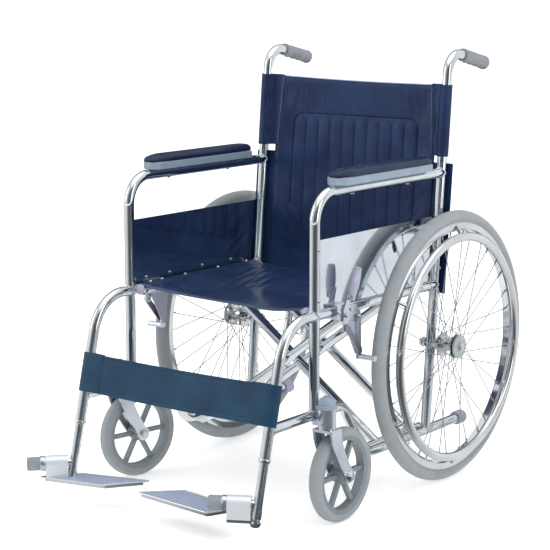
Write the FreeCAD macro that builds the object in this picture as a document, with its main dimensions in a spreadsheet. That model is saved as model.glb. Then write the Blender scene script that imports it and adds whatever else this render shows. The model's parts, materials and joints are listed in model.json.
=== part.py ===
import FreeCAD, Part
import math
import os

import Sketcher
from FreeCAD import Placement, Rotation, Vector

# Manual wheelchair with a folding cross brace, in millimetres.
# +Z is up, the chair faces -Y, and the occupant's left is +X.
# The origin is on the floor, under the middle of the chair's bounding box.

doc = FreeCAD.newDocument("wheelchair")
sheet = doc.addObject("Spreadsheet::Sheet", "Dimensions")

DIMENSIONS = (
    ("tube_radius", 11.1, "outer radius of the frame tube"),
    ("tube_wall", 1.5, "wall of the frame tube"),
    ("frame_half", 250, "middle of the chair to a side frame's tube plane"),
    ("axle_setback", 210.3, "origin to the rear axle, along Y"),
    ("axle_height", 305, "floor to the rear axle"),
    ("post_lean", 5.1, "backward lean of the rear post, in degrees"),
    ("rail_height", 438, "floor to the upper rail"),
    ("arm_height", 689, "floor to the armrest tube"),
    ("front_reach", 454, "rear axle forward to the front post"),
    ("corner_reach", 555, "rear axle forward to the corner of the leg tube"),
    ("foot_reach", 648, "rear axle forward to the leg's lower end"),
    ("foot_height", 72, "floor to the leg's lower end"),
    ("leg_joint_height", 172, "floor to the lower end of the outer leg tube"),
    ("front_rail_height", 231, "floor to the front of the lower rail"),
    ("low_rail_height", 105, "floor to the rear of the lower rail"),
    ("drop_top_reach", 352, "rear axle forward to the top of the S-bend"),
    ("drop_foot_reach", 264, "rear axle forward to the foot of the S-bend"),
    ("tail_reach", 140, "rear axle back to the tail's end"),
    ("handle_corner_height", 959, "floor to the corner of the push handle"),
    ("handle_end_reach", 214, "rear axle back to the end of the push handle"),
    ("handle_end_height", 926, "floor to the end of the push handle"),
    ("grip_length", 104, "length of a push grip"),
    ("grip_radius", 16, "outer radius of a push grip"),
    ("back_top", 888, "floor to the top of the backrest"),
    ("back_foot", 415, "floor to the lower edge of the backrest"),
    ("sleeve_foot", 722, "floor to the lower edge of the backrest sleeves"),
    ("cloth", 4, "thickness of the upholstery"),
    ("pivot_inset", 24, "side frame plane inward to a pivot tube"),
    ("seat_height", 441, "floor to the seat rails"),
    ("seat_front", 447, "rear axle forward to the front of the seat rails"),
    ("seat_rear", 30, "rear axle forward to the back of the seat rails"),
    ("seat_sag", 16, "sag of the seat sling"),
    ("brace_front", 204, "rear axle forward to the first diagonal tube"),
    ("brace_span", 134, "spacing of a cross frame's two diagonals"),
    ("brace_pitch", 24, "offset between the two cross frames"),
    ("tyre_width", 32, "width of a rear tyre"),
    ("wheel_half", 300, "middle of the chair to a rear wheel's plane"),
    ("rim_radius", 279, "outer radius of a rear rim"),
    ("handrim_half", 327, "middle of the chair to a handrim's plane"),
    ("handrim_radius", 248.5, "radius of a handrim's centre line"),
    ("handrim_tube", 9.5, "radius of a handrim's tube"),
    ("hub_inner", 271, "middle of the chair to a hub's inner face"),
    ("hub_outer", 327, "middle of the chair to a hub's outer face"),
    ("axle_radius", 6, "radius of a rear axle"),
    ("spoke_count", 36, "spokes in a rear wheel"),
    ("stem_half", 285, "middle of the chair to a caster stem"),
    ("stem_reach", 457, "rear axle forward to a caster stem"),
    ("caster_radius", 100, "radius of a caster wheel"),
    ("caster_width", 28, "width of a caster tyre"),
    ("caster_trail", 50, "trail of a caster"),
    ("barrel_foot", 209, "floor to the lower end of a caster barrel"),
    ("barrel_length", 47, "length of a caster barrel"),
    ("barrel_radius", 19, "outer radius of a caster barrel"),
    ("stem_radius", 8, "radius of a caster stem"),
    ("running_gap", 0.05, "radial clearance of a shaft in its bore"),
    ("pad_length", 355, "length of an armrest pad"),
    ("pad_width", 50, "width of an armrest pad"),
    ("pad_height", 16, "height of an armrest pad"),
    ("base_height", 16, "height of the moulded base under a pad"),
    ("pad_setback", 70, "rear post forward to the back of an armrest pad"),
    ("panel_top", 593, "floor to the top of a side panel"),
    ("panel_gauge", 1.2, "thickness of a side panel"),
    ("plate_height", 60, "floor to the top of a footplate"),
    ("plate_gauge", 7, "thickness of a footplate"),
    ("sleeve_height", 88, "floor to a footplate's hinge line"),
    ("inner_leg_radius", 9.4, "outer radius of the inner leg tube"),
    ("spindle_radius", 8, "radius of a footplate's hinge spindle"),
    ("strap_foot", 238, "floor to the calf strap's lower edge"),
    ("strap_top", 319, "floor to the calf strap's upper edge"),
)


class Size(float):
    """A length that remembers the sheet formula that it comes from."""

    def __new__(cls, number, formula=None):
        size = super().__new__(cls, number)
        size.formula = formula
        return size

    def __add__(self, other):
        return Size(float(self) + float(other), joined(self, "+", other))

    def __radd__(self, other):
        return Size(float(other) + float(self), joined(other, "+", self))

    def __sub__(self, other):
        return Size(float(self) - float(other), joined(self, "-", other))

    def __rsub__(self, other):
        return Size(float(other) - float(self), joined(other, "-", self))

    def __mul__(self, other):
        return Size(float(self) * float(other), joined(self, "*", other))

    def __rmul__(self, other):
        return Size(float(other) * float(self), joined(other, "*", self))

    def __truediv__(self, other):
        return Size(float(self) / float(other), joined(self, "/", other))

    def __neg__(self):
        return -1 * self


def formula_of(number):
    formula = getattr(number, "formula", None)
    return formula or "(%.6f)" % number


def joined(first, sign, second):
    return "(%s %s %s)" % (formula_of(first), sign, formula_of(second))


dim = {}
for row, (alias, number, meaning) in enumerate(DIMENSIONS, start=1):
    sheet.set("A%d" % row, meaning)
    sheet.set("B%d" % row, str(number))
    sheet.setAlias("B%d" % row, alias)
    dim[alias] = Size(number, "Dimensions.%s" % alias)
doc.recompute()

SIDES = (("left", 1), ("right", -1))
ALONG_X = Vector(1, 0, 0)
ALONG_Y = Vector(0, 1, 0)
ALONG_Z = Vector(0, 0, 1)
nodes = []

R_TUBE = dim["tube_radius"]
R_BORE = dim["tube_radius"] - dim["tube_wall"]
AXLE_Y = dim["axle_setback"]
AXLE_Z = dim["axle_height"]
TOUCH = 0.3


# ---------------------------------------------------------------- helpers

def bind(item, prop, number):
    """Give a property its value, and the sheet formula behind it."""
    if getattr(number, "formula", None):
        item.setExpression(prop, number.formula)
    else:
        setattr(item, prop, float(number))


def place(item, base, rotation=None):
    """Put an item at a base point, bound to the sheet where its numbers are."""
    item.Placement = Placement(Vector(*[float(c) for c in base]), rotation or Rotation())
    for letter, number in zip("xyz", base):
        if getattr(number, "formula", None):
            item.setExpression("Placement.Base.%s" % letter, number.formula)
    return item


def facing(axis):
    """The rotation that turns an item's Z axis to face along another axis."""
    return Rotation(ALONG_Z, Vector(*axis))


def keep(item, label):
    """Name an item as one of the chair's sub-parts."""
    item.Label = label
    nodes.append(item)
    return item


def add_cylinder(radius, height, base, axis=ALONG_Z):
    item = doc.addObject("Part::Cylinder", "Cylinder")
    bind(item, "Radius", radius)
    bind(item, "Height", height)
    return place(item, base, facing(axis))


def add_rod(radius, start, end):
    """A round bar from one point to another."""
    run = Vector(*end) - Vector(*start)
    return add_cylinder(radius, run.Length, start, run)


def add_box(lengths, base, rotation=None):
    item = doc.addObject("Part::Box", "Box")
    for prop, number in zip(("Length", "Width", "Height"), lengths):
        bind(item, prop, number)
    return place(item, base, rotation)


def fuse(items):
    if len(items) == 1:
        return items[0]
    item = doc.addObject("Part::MultiFuse", "Fusion")
    item.Shapes = items
    item.Refine = False
    return item


def cut(base, tools):
    item = doc.addObject("Part::Cut", "Cut")
    item.Base = base
    item.Tool = fuse(tools)
    return item


def group(items):
    """Separate solids kept as one sub-part."""
    item = doc.addObject("Part::Compound", "Group")
    item.Links = items
    return item


def bent_path(points, bend):
    """Straight runs joined by tangent arcs of one radius."""
    edges = []
    start = points[0]
    for before, corner, after in zip(points, points[1:], points[2:]):
        back = (before - corner).normalize()
        ahead = (after - corner).normalize()
        half = back.getAngle(ahead) / 2
        setback = bend / math.tan(half)
        middle = (back + ahead).normalize()
        arc_start = corner + back * setback
        arc_end = corner + ahead * setback
        centre = corner + middle * (bend / math.sin(half))
        arc_middle = centre - middle * bend
        edges.append(Part.LineSegment(start, arc_start).toShape())
        edges.append(Part.Arc(arc_start, arc_middle, arc_end).toShape())
        start = arc_end
    edges.append(Part.LineSegment(start, points[-1]).toShape())
    return Part.Wire(edges)


def add_sweep(points, bend, radius):
    """A solid round bar along a bent path."""
    points = [Vector(*point) for point in points]
    spine = doc.addObject("Part::Feature", "Path")
    spine.Shape = bent_path(points, float(bend))
    section = doc.addObject("Part::Circle", "Section")
    bind(section, "Radius", radius)
    section.Placement = Placement(points[0], facing(points[1] - points[0]))
    sweep = doc.addObject("Part::Sweep", "Sweep")
    sweep.Sections = [section]
    sweep.Spine = (spine, ["Edge%d" % (i + 1) for i in range(len(spine.Shape.Edges))])
    sweep.Solid = True
    return sweep


def add_tube(points, bend, radius=R_TUBE, bore=R_BORE):
    """A hollow tube along a bent path: the tube, and its solid outer form."""
    outer = add_sweep(points, bend, radius)
    inner = add_sweep(points, bend, bore)
    return cut(outer, [inner]), outer


def add_body(label):
    body = doc.addObject("PartDesign::Body", "Body")
    body.Label = label
    return body


def add_outline(body, role, points):
    """A closed straight-sided outline, each corner bound to the sheet."""
    plane = [item for item in body.Origin.OriginFeatures if item.Role == role][0]
    sketch = body.newObject("Sketcher::SketchObject", "Outline")
    sketch.AttachmentSupport = (plane, [""])
    sketch.MapMode = "FlatFace"
    count = len(points)
    for i, start in enumerate(points):
        end = points[(i + 1) % count]
        sketch.addGeometry(Part.LineSegment(Vector(*start, 0), Vector(*end, 0)))
    for i in range(count):
        sketch.addConstraint(Sketcher.Constraint("Coincident", i, 2, (i + 1) % count, 1))
    for i, point in enumerate(points):
        for kind, number in zip(("DistanceX", "DistanceY"), point):
            rule = sketch.addConstraint(Sketcher.Constraint(kind, -1, 1, i, 1, float(number)))
            if getattr(number, "formula", None):
                sketch.setExpression("Constraints[%d]" % rule, number.formula)
    return sketch


def add_circles(body, role, circles):
    """Round outlines given as (centre x, centre y, radius)."""
    plane = [item for item in body.Origin.OriginFeatures if item.Role == role][0]
    sketch = body.newObject("Sketcher::SketchObject", "Circles")
    sketch.AttachmentSupport = (plane, [""])
    sketch.MapMode = "FlatFace"
    for i, (x, y, radius) in enumerate(circles):
        sketch.addGeometry(Part.Circle(Vector(x, y, 0), ALONG_Z, float(radius)))
        for kind, number in (("DistanceX", x), ("DistanceY", y)):
            rule = sketch.addConstraint(Sketcher.Constraint(kind, -1, 1, i, 3, float(number)))
            if getattr(number, "formula", None):
                sketch.setExpression("Constraints[%d]" % rule, number.formula)
        rule = sketch.addConstraint(Sketcher.Constraint("Radius", i, float(radius)))
        if getattr(radius, "formula", None):
            sketch.setExpression("Constraints[%d]" % rule, radius.formula)
    return sketch


def revolve(body, sketch):
    """Turn an outline in the body's XZ plane about the body's Z axis."""
    feature = body.newObject("PartDesign::Revolution", "Revolution")
    feature.Profile = sketch
    feature.ReferenceAxis = (sketch, ["V_Axis"])
    feature.Angle = 360
    return feature


def pad(body, sketch, length):
    feature = body.newObject("PartDesign::Pad", "Pad")
    feature.Profile = sketch
    bind(feature, "Length", length)
    return feature


def round_edges(body, feature, radius, chosen):
    """Fillet the edges of a feature that pass a test."""
    doc.recompute()
    names = ["Edge%d" % (i + 1) for i, edge in enumerate(feature.Shape.Edges) if chosen(edge)]
    fillet = body.newObject("PartDesign::Fillet", "Fillet")
    fillet.Base = (feature, names)
    bind(fillet, "Radius", radius)
    return fillet


def turned(label, outline, base, axis):
    """A sub-part turned on a lathe: outline corners are (radius, distance along the axis)."""
    body = add_body(label)
    revolve(body, add_outline(body, "XZ_Plane", outline))
    nodes.append(body)
    return place(body, base, facing(axis))


def post_y(height):
    """Where the leaning rear post is at a height."""
    return float(AXLE_Y) + (height - float(AXLE_Z)) * math.tan(math.radians(dim["post_lean"]))


def leg_y(height):
    """Where the slanting leg tube is at a height."""
    fall = (dim["rail_height"] - height) / (dim["rail_height"] - dim["foot_height"])
    return float(AXLE_Y - dim["corner_reach"] - fall * (dim["foot_reach"] - dim["corner_reach"]))


# ------------------------------------------------------------- side frames

POST_BEND = 46
ARM_BEND = 62
LEG_BEND = 95
DROP_BEND = 42
PIVOT_PIN = 7


def handle_direction():
    corner = Vector(0, post_y(dim["handle_corner_height"]), dim["handle_corner_height"])
    end = Vector(0, AXLE_Y + dim["handle_end_reach"], dim["handle_end_height"])
    return corner, end, (end - corner).normalize()


def side_frame_tubes(side, sign):
    """The welded tubes of a side frame, each coped to the one it meets."""
    x = sign * dim["frame_half"]
    low = dim["low_rail_height"]
    front_y = AXLE_Y - dim["front_reach"]
    corner, end, _ = handle_direction()

    lower, lower_solid = add_tube([
        (x, leg_y(dim["front_rail_height"]), dim["front_rail_height"]),
        (x, AXLE_Y - dim["drop_top_reach"], dim["front_rail_height"]),
        (x, AXLE_Y - dim["drop_foot_reach"], low),
        (x, AXLE_Y + dim["tail_reach"], low)], DROP_BEND)
    rail, rail_solid = add_tube([
        (x, post_y(dim["rail_height"]), dim["rail_height"]),
        (x, AXLE_Y - dim["corner_reach"], dim["rail_height"]),
        (x, leg_y(dim["leg_joint_height"]), dim["leg_joint_height"])], LEG_BEND)
    post, post_solid = add_tube([
        (x, post_y(low), low),
        (x, post_y(dim["handle_corner_height"]), dim["handle_corner_height"]),
        (x, end.y, end.z)], POST_BEND)
    arm, arm_solid = add_tube([
        (x, front_y, dim["front_rail_height"]),
        (x, front_y, dim["arm_height"]),
        (x, post_y(dim["arm_height"]), dim["arm_height"])], ARM_BEND)

    bore_length = 60
    axle_hole = add_cylinder(dim["axle_radius"], bore_length,
                             (x - bore_length / 2, AXLE_Y, AXLE_Z), ALONG_X)
    keep(cut(post, [lower_solid, axle_hole]), "rear_post_" + side)
    keep(cut(arm, [lower_solid, rail_solid, post_solid]), "arm_tube_" + side)
    keep(cut(rail, [post_solid]), "side_rail_" + side)

    lug_reach = (dim["brace_front"] + dim["brace_pitch"] + 6, 8)
    pivot_x = sign * (dim["frame_half"] - dim["pivot_inset"])
    gauge = 5
    lug_height = 20
    lug_length = dim["pivot_inset"] + 2
    eye_radius = 12
    pin_length = 26
    lugs = []
    for reach in lug_reach:
        y = AXLE_Y - reach - gauge / 2
        lugs.append(add_box((lug_length, gauge, lug_height),
                            (min(x, pivot_x) - 1, y, low - lug_height / 2)))
        lugs.append(add_cylinder(eye_radius, gauge, (pivot_x, y, low), ALONG_Y))
    for start in (lug_reach[0], lug_reach[1] + pin_length):
        lugs.append(add_cylinder(PIVOT_PIN, pin_length, (pivot_x, AXLE_Y - start, low), ALONG_Y))
    lug_body = cut(fuse(lugs), [lower_solid])
    keep(cut(fuse([lower, lug_body]), [rail_solid]), "lower_rail_" + side)
    return rail_solid, post_solid, lower_solid, arm_solid


def caster_barrel(side, sign, neighbours):
    """The stem's housing, its dome cap and the two webs to the frame."""
    foot = dim["barrel_foot"]
    x = sign * dim["stem_half"]
    y = AXLE_Y - dim["stem_reach"]
    bore = dim["stem_radius"] + dim["running_gap"]
    shell = dim["barrel_radius"]
    length = dim["barrel_length"]
    body = add_body("barrel_body_" + side)
    revolve(body, add_outline(body, "XZ_Plane", (
        (bore, 0), (shell, 0), (shell, length),
        (shell - 1, length + 7), (shell - 5, length + 15), (shell - 12, length + 20),
        (0, length + 22), (0, length + 3), (bore, length + 3))))
    place(body, (x, y, foot))
    span = float(dim["stem_half"] - dim["frame_half"])
    web_gauge = 6
    web_height = 18
    webs = [
        add_box((span, web_gauge, web_height),
                (min(float(x), float(x) - sign * span), y - web_gauge / 2, foot + rise))
        for rise in (3, 27)]
    stem_space = add_cylinder(shell - 1, length, (x, y, foot))
    keep(fuse([body, cut(fuse(webs), neighbours + [stem_space])]), "caster_barrel_" + side)


def push_grip(side, sign):
    """A moulded sleeve with a closed end, over the end of the push handle."""
    _, end, along = handle_direction()
    shell = dim["grip_radius"]
    length = dim["grip_length"]
    end_wall = 4
    start = end - along * float(length - end_wall)
    turned("grip_" + side, (
        (R_TUBE, 0), (shell - 1, 0), (shell, 4), (shell, length - 6),
        (shell - 4, length), (0, length), (0, length - end_wall), (R_TUBE, length - end_wall)),
        (sign * dim["frame_half"], start.y, start.z), along)


def tail_tip(side, sign):
    """The rubber tip over the tail of the lower rail."""
    cover = 24
    shell = R_TUBE + 2.4
    end_wall = 5
    turned("rear_tip_" + side, (
        (R_TUBE, 0), (shell, 0), (shell, cover), (shell - 2, cover + end_wall),
        (0, cover + end_wall), (0, cover), (R_TUBE, cover)),
        (sign * dim["frame_half"], AXLE_Y + dim["tail_reach"] - cover, dim["low_rail_height"]),
        ALONG_Y)


def armrest(side, sign):
    """A moulded base on the armrest tube, and the padded top on it."""
    width = dim["pad_width"]
    length = dim["pad_length"]
    floor = dim["arm_height"] + R_TUBE
    back = post_y(dim["arm_height"]) - dim["pad_setback"]
    base_height = dim["base_height"]
    nose = 16
    outline = (
        (-width / 2 + nose, -length), (width / 2 - nose, -length),
        (width / 2, -length + nose), (width / 2, -8), (width / 2 - 8, 0),
        (-width / 2 + 8, 0), (-width / 2, -8), (-width / 2, -length + nose))
    for name, height, floor_z, soften in (
            ("arm_base_", base_height, floor, 3),
            ("arm_pad_", dim["pad_height"], floor + base_height, 8)):
        body = add_body(name + side)
        block = pad(body, add_outline(body, "XY_Plane", outline), height)
        top = float(height) - 0.1
        round_edges(body, block, soften, lambda edge: edge.CenterOfMass.z > top)
        place(body, (sign * dim["frame_half"], back, floor_z))
        nodes.append(body)


CLAMP_REACH = 398
CLAMP_SIZE = Vector(30, 40, 30)
CLAMP_FOOT = 423


def brake_clamp(sign, room=0):
    """The block of the brake's bracket on the upper rail, or the space that it needs."""
    x = 238 if sign > 0 else -238 - CLAMP_SIZE.x
    lengths = [length + 2 * room for length in CLAMP_SIZE]
    return add_box(lengths, (x - room, AXLE_Y - CLAMP_REACH - room, CLAMP_FOOT - room))


def side_panel(side, sign, neighbours):
    """The sheet between the front post, the upper rail and the rear post."""
    body = add_body("panel_sheet_" + side)
    foot = dim["rail_height"]
    pad(body, add_outline(body, "YZ_Plane", (
        (AXLE_Y - dim["front_reach"], foot), (post_y(foot), foot),
        (post_y(dim["panel_top"]), dim["panel_top"]),
        (AXLE_Y - dim["front_reach"], dim["panel_top"]))), dim["panel_gauge"])
    place(body, (sign * dim["frame_half"] - dim["panel_gauge"] / 2, 0, 0))
    keep(cut(body, neighbours + [brake_clamp(sign, TOUCH)]), "side_panel_" + side)


SADDLE_REACH = (425, 290, 125)


def seat_saddles(side, sign, rail_solid):
    """Half-round rests on the upper rail that hold up the seat rail."""
    x = sign * (dim["frame_half"] - dim["pivot_inset"])
    z = dim["seat_height"]
    outer = R_TUBE + TOUCH + 3
    length = 24
    arm_reach = 14
    space = length + 6
    saddles = []
    for reach in SADDLE_REACH:
        y = AXLE_Y - reach
        ring = add_cylinder(outer, length, (x, y - length / 2, z), ALONG_Y)
        arm = add_box((arm_reach, length, 9),
                      (min(float(x), float(x) + sign * arm_reach), y - length / 2, z - 14))
        rail_space = add_cylinder(R_TUBE + TOUCH, space, (x, y - space / 2, z), ALONG_Y)
        above = add_box((40, space, 30), (x - 20, y - space / 2, z))
        saddles.append(cut(fuse([ring, arm]), [rail_space, above]))
    keep(cut(group(saddles), [rail_solid]), "seat_saddles_" + side)


def rear_axle(side, sign):
    """The axle bolt through the rear post, with its inner and outer nuts."""
    shaft = dim["axle_radius"]
    start = dim["frame_half"] - R_TUBE
    body = add_body("axle_bolt_" + side)
    outer = dim["hub_outer"] + 3
    revolve(body, add_outline(body, "XZ_Plane", (
        (0, start - 8), (10, start - 8), (10, start), (shaft, start),
        (shaft, outer - 3 + TOUCH), (9, outer - 3 + TOUCH), (9, outer + 2), (0, outer + 2))))
    spacer = add_body("axle_spacer_" + side)
    revolve(spacer, add_outline(spacer, "XZ_Plane", (
        (shaft, dim["frame_half"] + R_TUBE), (9, dim["frame_half"] + R_TUBE),
        (9, dim["hub_inner"] - TOUCH), (shaft, dim["hub_inner"] - TOUCH))))
    for item in (body, spacer):
        place(item, (0, AXLE_Y, AXLE_Z), facing(ALONG_X * sign))
    keep(group([body, spacer]), "rear_axle_" + side)


# -------------------------------------------------------------- rear wheels

def rear_wheel(side, sign):
    """Tyre, rim, spokes, hub and handrim about the rear axle."""
    centre = (0, AXLE_Y, AXLE_Z)
    out = facing(ALONG_X * sign)
    plane = dim["wheel_half"]
    half = dim["tyre_width"] / 2
    rim = dim["rim_radius"]

    channel = turned("rim_" + side, (
        (rim - 20, plane - 7), (rim - 14, plane - 12), (rim, plane - 12), (rim, plane - 10),
        (rim - 13, plane - 10), (rim - 18, plane - 6), (rim - 18, plane + 6), (rim - 13, plane + 10),
        (rim, plane + 10), (rim, plane + 12), (rim - 14, plane + 12), (rim - 20, plane + 7)),
        centre, ALONG_X * sign)
    tyre = add_body("tyre_ring_" + side)
    revolve(tyre, add_circles(tyre, "XZ_Plane", ((AXLE_Z - half, plane, half),)))
    place(tyre, centre, out)
    keep(cut(tyre, [channel]), "rear_tyre_" + side)

    inner = dim["hub_inner"]
    outer = dim["hub_outer"]
    bore = dim["axle_radius"] + dim["running_gap"]
    turned("hub_" + side, (
        (bore, inner), (15, inner), (15, inner + 8), (27, inner + 9), (27, inner + 12),
        (15, inner + 14), (13, inner + 20), (13, outer - 20), (15, outer - 14),
        (27, outer - 12), (27, outer - 9), (15, outer - 8), (15, outer), (bore, outer)),
        centre, ALONG_X * sign)

    spokes = []
    count = int(dim["spoke_count"])
    flange_radius = 26.9
    end_radius = float(rim) - 20
    for i in range(count):
        at_rim = 2 * math.pi * i / count
        cross = math.radians(62 if i % 4 < 2 else -62)
        flange_x = float(inner) + 10.5 if i % 2 else float(outer) - 10.5
        rim_x = float(plane) + (-3 if i % 2 else 3)
        start = (sign * flange_x, AXLE_Y + flange_radius * math.cos(at_rim + cross),
                 AXLE_Z + flange_radius * math.sin(at_rim + cross))
        end = (sign * rim_x, AXLE_Y + end_radius * math.cos(at_rim),
               AXLE_Z + end_radius * math.sin(at_rim))
        spokes.append(add_rod(1.0, start, end))
    hub_space = add_cylinder(27, 80, (sign * plane - 40, AXLE_Y, AXLE_Z), ALONG_X)
    keep(cut(group(spokes), [hub_space]), "spokes_" + side)

    rings = []
    for section in (dim["handrim_tube"], dim["handrim_tube"] - dim["tube_wall"]):
        ring = doc.addObject("Part::Torus", "Ring")
        bind(ring, "Radius1", dim["handrim_radius"])
        bind(ring, "Radius2", section)
        rings.append(place(ring, (sign * dim["handrim_half"], AXLE_Y, AXLE_Z), out))
    stands = []
    for i in range(6):
        turn = 2 * math.pi * (i + 0.5) / 6
        reach = float(rim) - 8
        start = (sign * (float(plane) + 12.05), AXLE_Y + reach * math.cos(turn),
                 AXLE_Z + reach * math.sin(turn))
        reach = float(dim["handrim_radius"])
        end = (sign * float(dim["handrim_half"]), AXLE_Y + reach * math.cos(turn),
               AXLE_Z + reach * math.sin(turn))
        stands.append(add_rod(4, start, end))
    rim_width = 24
    room = 6
    rim_start = -room - rim_width / 2 if sign > 0 else -rim_width / 2
    rim_side = add_cylinder(rim + 5, rim_width + room,
                            (sign * plane + rim_start, AXLE_Y, AXLE_Z), ALONG_X)
    hollow = cut(rings[0], [rings[1]])
    keep(fuse([hollow, cut(group(stands), [rim_side, rings[0]])]), "handrim_" + side)


# ------------------------------------------------------------------ casters

LEG_STEPS = 10


def fork_leg_outline(crown, radius, trail):
    """The closed outline of a fork leg that leaves the crown upright and sweeps back to the axle."""
    front, rear = [], []
    for i in range(LEG_STEPS + 1):
        share = i / LEG_STEPS
        z = crown - share * (crown - float(radius))
        y = float(trail) * share ** 2 * (1.6 - 0.6 * share)
        half = 18 - 3 * share
        front.append((y - half, z))
        rear.append((y + half, z))
    return front + rear[::-1]


def caster(side, sign, turn):
    """Fork, wheel, tyre and axle bolt, turned about the stem."""
    radius = dim["caster_radius"]
    width = dim["caster_width"]
    trail = dim["caster_trail"]
    spin = Rotation(ALONG_Z, turn)
    stem = Vector(sign * dim["stem_half"], AXLE_Y - dim["stem_reach"], 0)
    crown = float(dim["barrel_foot"]) - TOUCH

    plates = []
    gap = 19
    gauge = 5
    for inner_face in (-gap - gauge, gap):
        leg = add_body("fork_leg")
        pad(leg, add_outline(leg, "YZ_Plane", fork_leg_outline(crown, radius, trail)), gauge)
        place(leg, (inner_face, 0, 0))
        plates.append(leg)
        plates.append(add_cylinder(15, gauge, (inner_face, trail, radius), ALONG_X))
    bridge = add_box((2 * gap + 2, 36, 6), (-gap - 1, -18, crown - 6))
    shaft = add_cylinder(dim["stem_radius"], dim["barrel_length"], (0, 0, crown - 1))
    bolt_radius = 5
    head_radius = 8
    head = 6
    bolt_hole = add_cylinder(bolt_radius, 2 * gap + 40, (-gap - 20, trail, radius), ALONG_X)
    fork = cut(fuse(plates + [bridge, shaft]), [bolt_hole])

    bolt = fuse([
        add_cylinder(bolt_radius, 2 * (gap + gauge), (-gap - gauge, trail, radius), ALONG_X),
        add_cylinder(head_radius, head, (-gap - gauge - head, trail, radius), ALONG_X),
        add_cylinder(head_radius, head, (gap + gauge, trail, radius), ALONG_X)])

    tyre_body = add_body("tyre_body")
    tread = radius
    seat = radius - 17
    revolve(tyre_body, add_outline(tyre_body, "XZ_Plane", (
        (seat, -width / 2 + 2), (tread - 6, -width / 2), (tread - 1.5, -width / 2 + 5),
        (tread, -width / 2 + 9), (tread, width / 2 - 9), (tread - 1.5, width / 2 - 5),
        (tread - 6, width / 2), (seat, width / 2 - 2))))
    place(tyre_body, (0, trail, radius), facing(ALONG_X))

    rim_body = add_body("caster_rim")
    bore = bolt_radius + dim["running_gap"]
    revolve(rim_body, add_outline(rim_body, "XZ_Plane", (
        (seat - 10, -10), (seat - 1, -width / 2 + 2.5), (seat, -width / 2 + 2.5),
        (seat, width / 2 - 2.5), (seat - 1, width / 2 - 2.5), (seat - 10, 10))))
    place(rim_body, (0, trail, radius), facing(ALONG_X))
    core = add_body("caster_core")
    revolve(core, add_outline(core, "XZ_Plane", (
        (bore, -gap + TOUCH), (15, -gap + TOUCH), (18, -12), (18, 12),
        (15, gap - TOUCH), (bore, gap - TOUCH))))
    place(core, (0, trail, radius), facing(ALONG_X))
    arms = []
    arm_size = Vector(10, 9, float(seat) - 22)
    for i in range(6):
        arm = add_box(arm_size, (0, 0, 0))
        arm_turn = Rotation(ALONG_X, 30 + 60 * i)
        offset = arm_turn.multVec(Vector(-arm_size.x / 2, -arm_size.y / 2, 14))
        arm.Placement = Placement(Vector(0, trail, radius) + offset, arm_turn)
        arms.append(arm)
    wheel = fuse([rim_body, core] + arms)

    for name, item in (("caster_fork_", fork), ("caster_axle_", bolt),
                       ("caster_tyre_", group([tyre_body])), ("caster_wheel_", wheel)):
        own = item.Placement
        item.Placement = Placement(stem, spin).multiply(own)
        keep(item, name + side)


# ------------------------------------------------------------------- brakes

LEVER_PIVOT = (-372, 430)
LEVER_FOOT = (-372, 404)
SHOE_PIVOT = (-324, 420)
SHOE_FOOT = (-321, 346)
SHOE_ROD = (-321.5, 334)


def brake(side, sign, neighbours):
    """A clamp on the upper rail, the hand lever, its link and the shoe arm."""
    def flat(name, points, gauge, layer):
        body = add_body(name)
        pad(body, add_outline(body, "YZ_Plane", [(AXLE_Y + y, z) for y, z in points]), gauge)
        start = sign * layer if sign > 0 else sign * layer - gauge
        return place(body, (start, 0, 0))

    def disc(radius, point, gauge, layer):
        start = sign * layer if sign > 0 else sign * layer - gauge
        return add_cylinder(radius, gauge, (start, AXLE_Y + point[0], point[1]), ALONG_X)

    plate_layer = 264.0
    lever_layer = 268.4
    link_layer = 272.8
    pin_radius = 4
    link_pin_radius = 3
    clamp = brake_clamp(sign)
    plate = flat("brake_plate", ((-398, 423), (-398, 448), (-330, 448), (-312, 428), (-312, 410),
                                 (-336, 410), (-358, 418), (-384, 418)), 4, plate_layer)
    pins = [disc(pin_radius, pivot, 9.5, plate_layer) for pivot in (LEVER_PIVOT, SHOE_PIVOT)]
    keep(cut(fuse([clamp, plate] + pins), neighbours), "brake_bracket_" + side)

    pin_gap = pin_radius + dim["running_gap"]
    blade = flat("lever_blade", ((-380, 396), (-364, 396), (-362, 440), (-350, 482),
                                 (-360, 484), (-381, 440)), 4, lever_layer)
    handle = add_rod(8.5, (sign * 277, AXLE_Y - 362, 462), (sign * 284, AXLE_Y - 348, 526))
    hole = disc(pin_gap, LEVER_PIVOT, 20, lever_layer - 5)
    foot_hole = disc(link_pin_radius + dim["running_gap"], LEVER_FOOT, 20, lever_layer - 5)
    keep(cut(fuse([blade, handle]), [hole, foot_hole]), "brake_lever_" + side)

    link = flat("link_bar", ((-377, 399), (-367, 409), (-316, 351), (-326, 341)), 3, link_layer)
    ends = [disc(7, LEVER_FOOT, 3, link_layer), disc(5, SHOE_FOOT, 3, link_layer)]
    link_pin = disc(link_pin_radius, LEVER_FOOT, 5, lever_layer - 0.1)
    keep(fuse([link, link_pin] + ends), "brake_link_" + side)

    arm = flat("shoe_arm", ((-331, 426), (-317, 426), (-314, 330), (-329, 330)), 4, lever_layer)
    rod = disc(6, SHOE_ROD, 44, lever_layer)
    hole = disc(pin_gap, SHOE_PIVOT, 20, lever_layer - 5)
    keep(cut(fuse([arm, rod]), [hole]), "brake_shoe_" + side)


# ---------------------------------------------------------------- footrests

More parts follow.
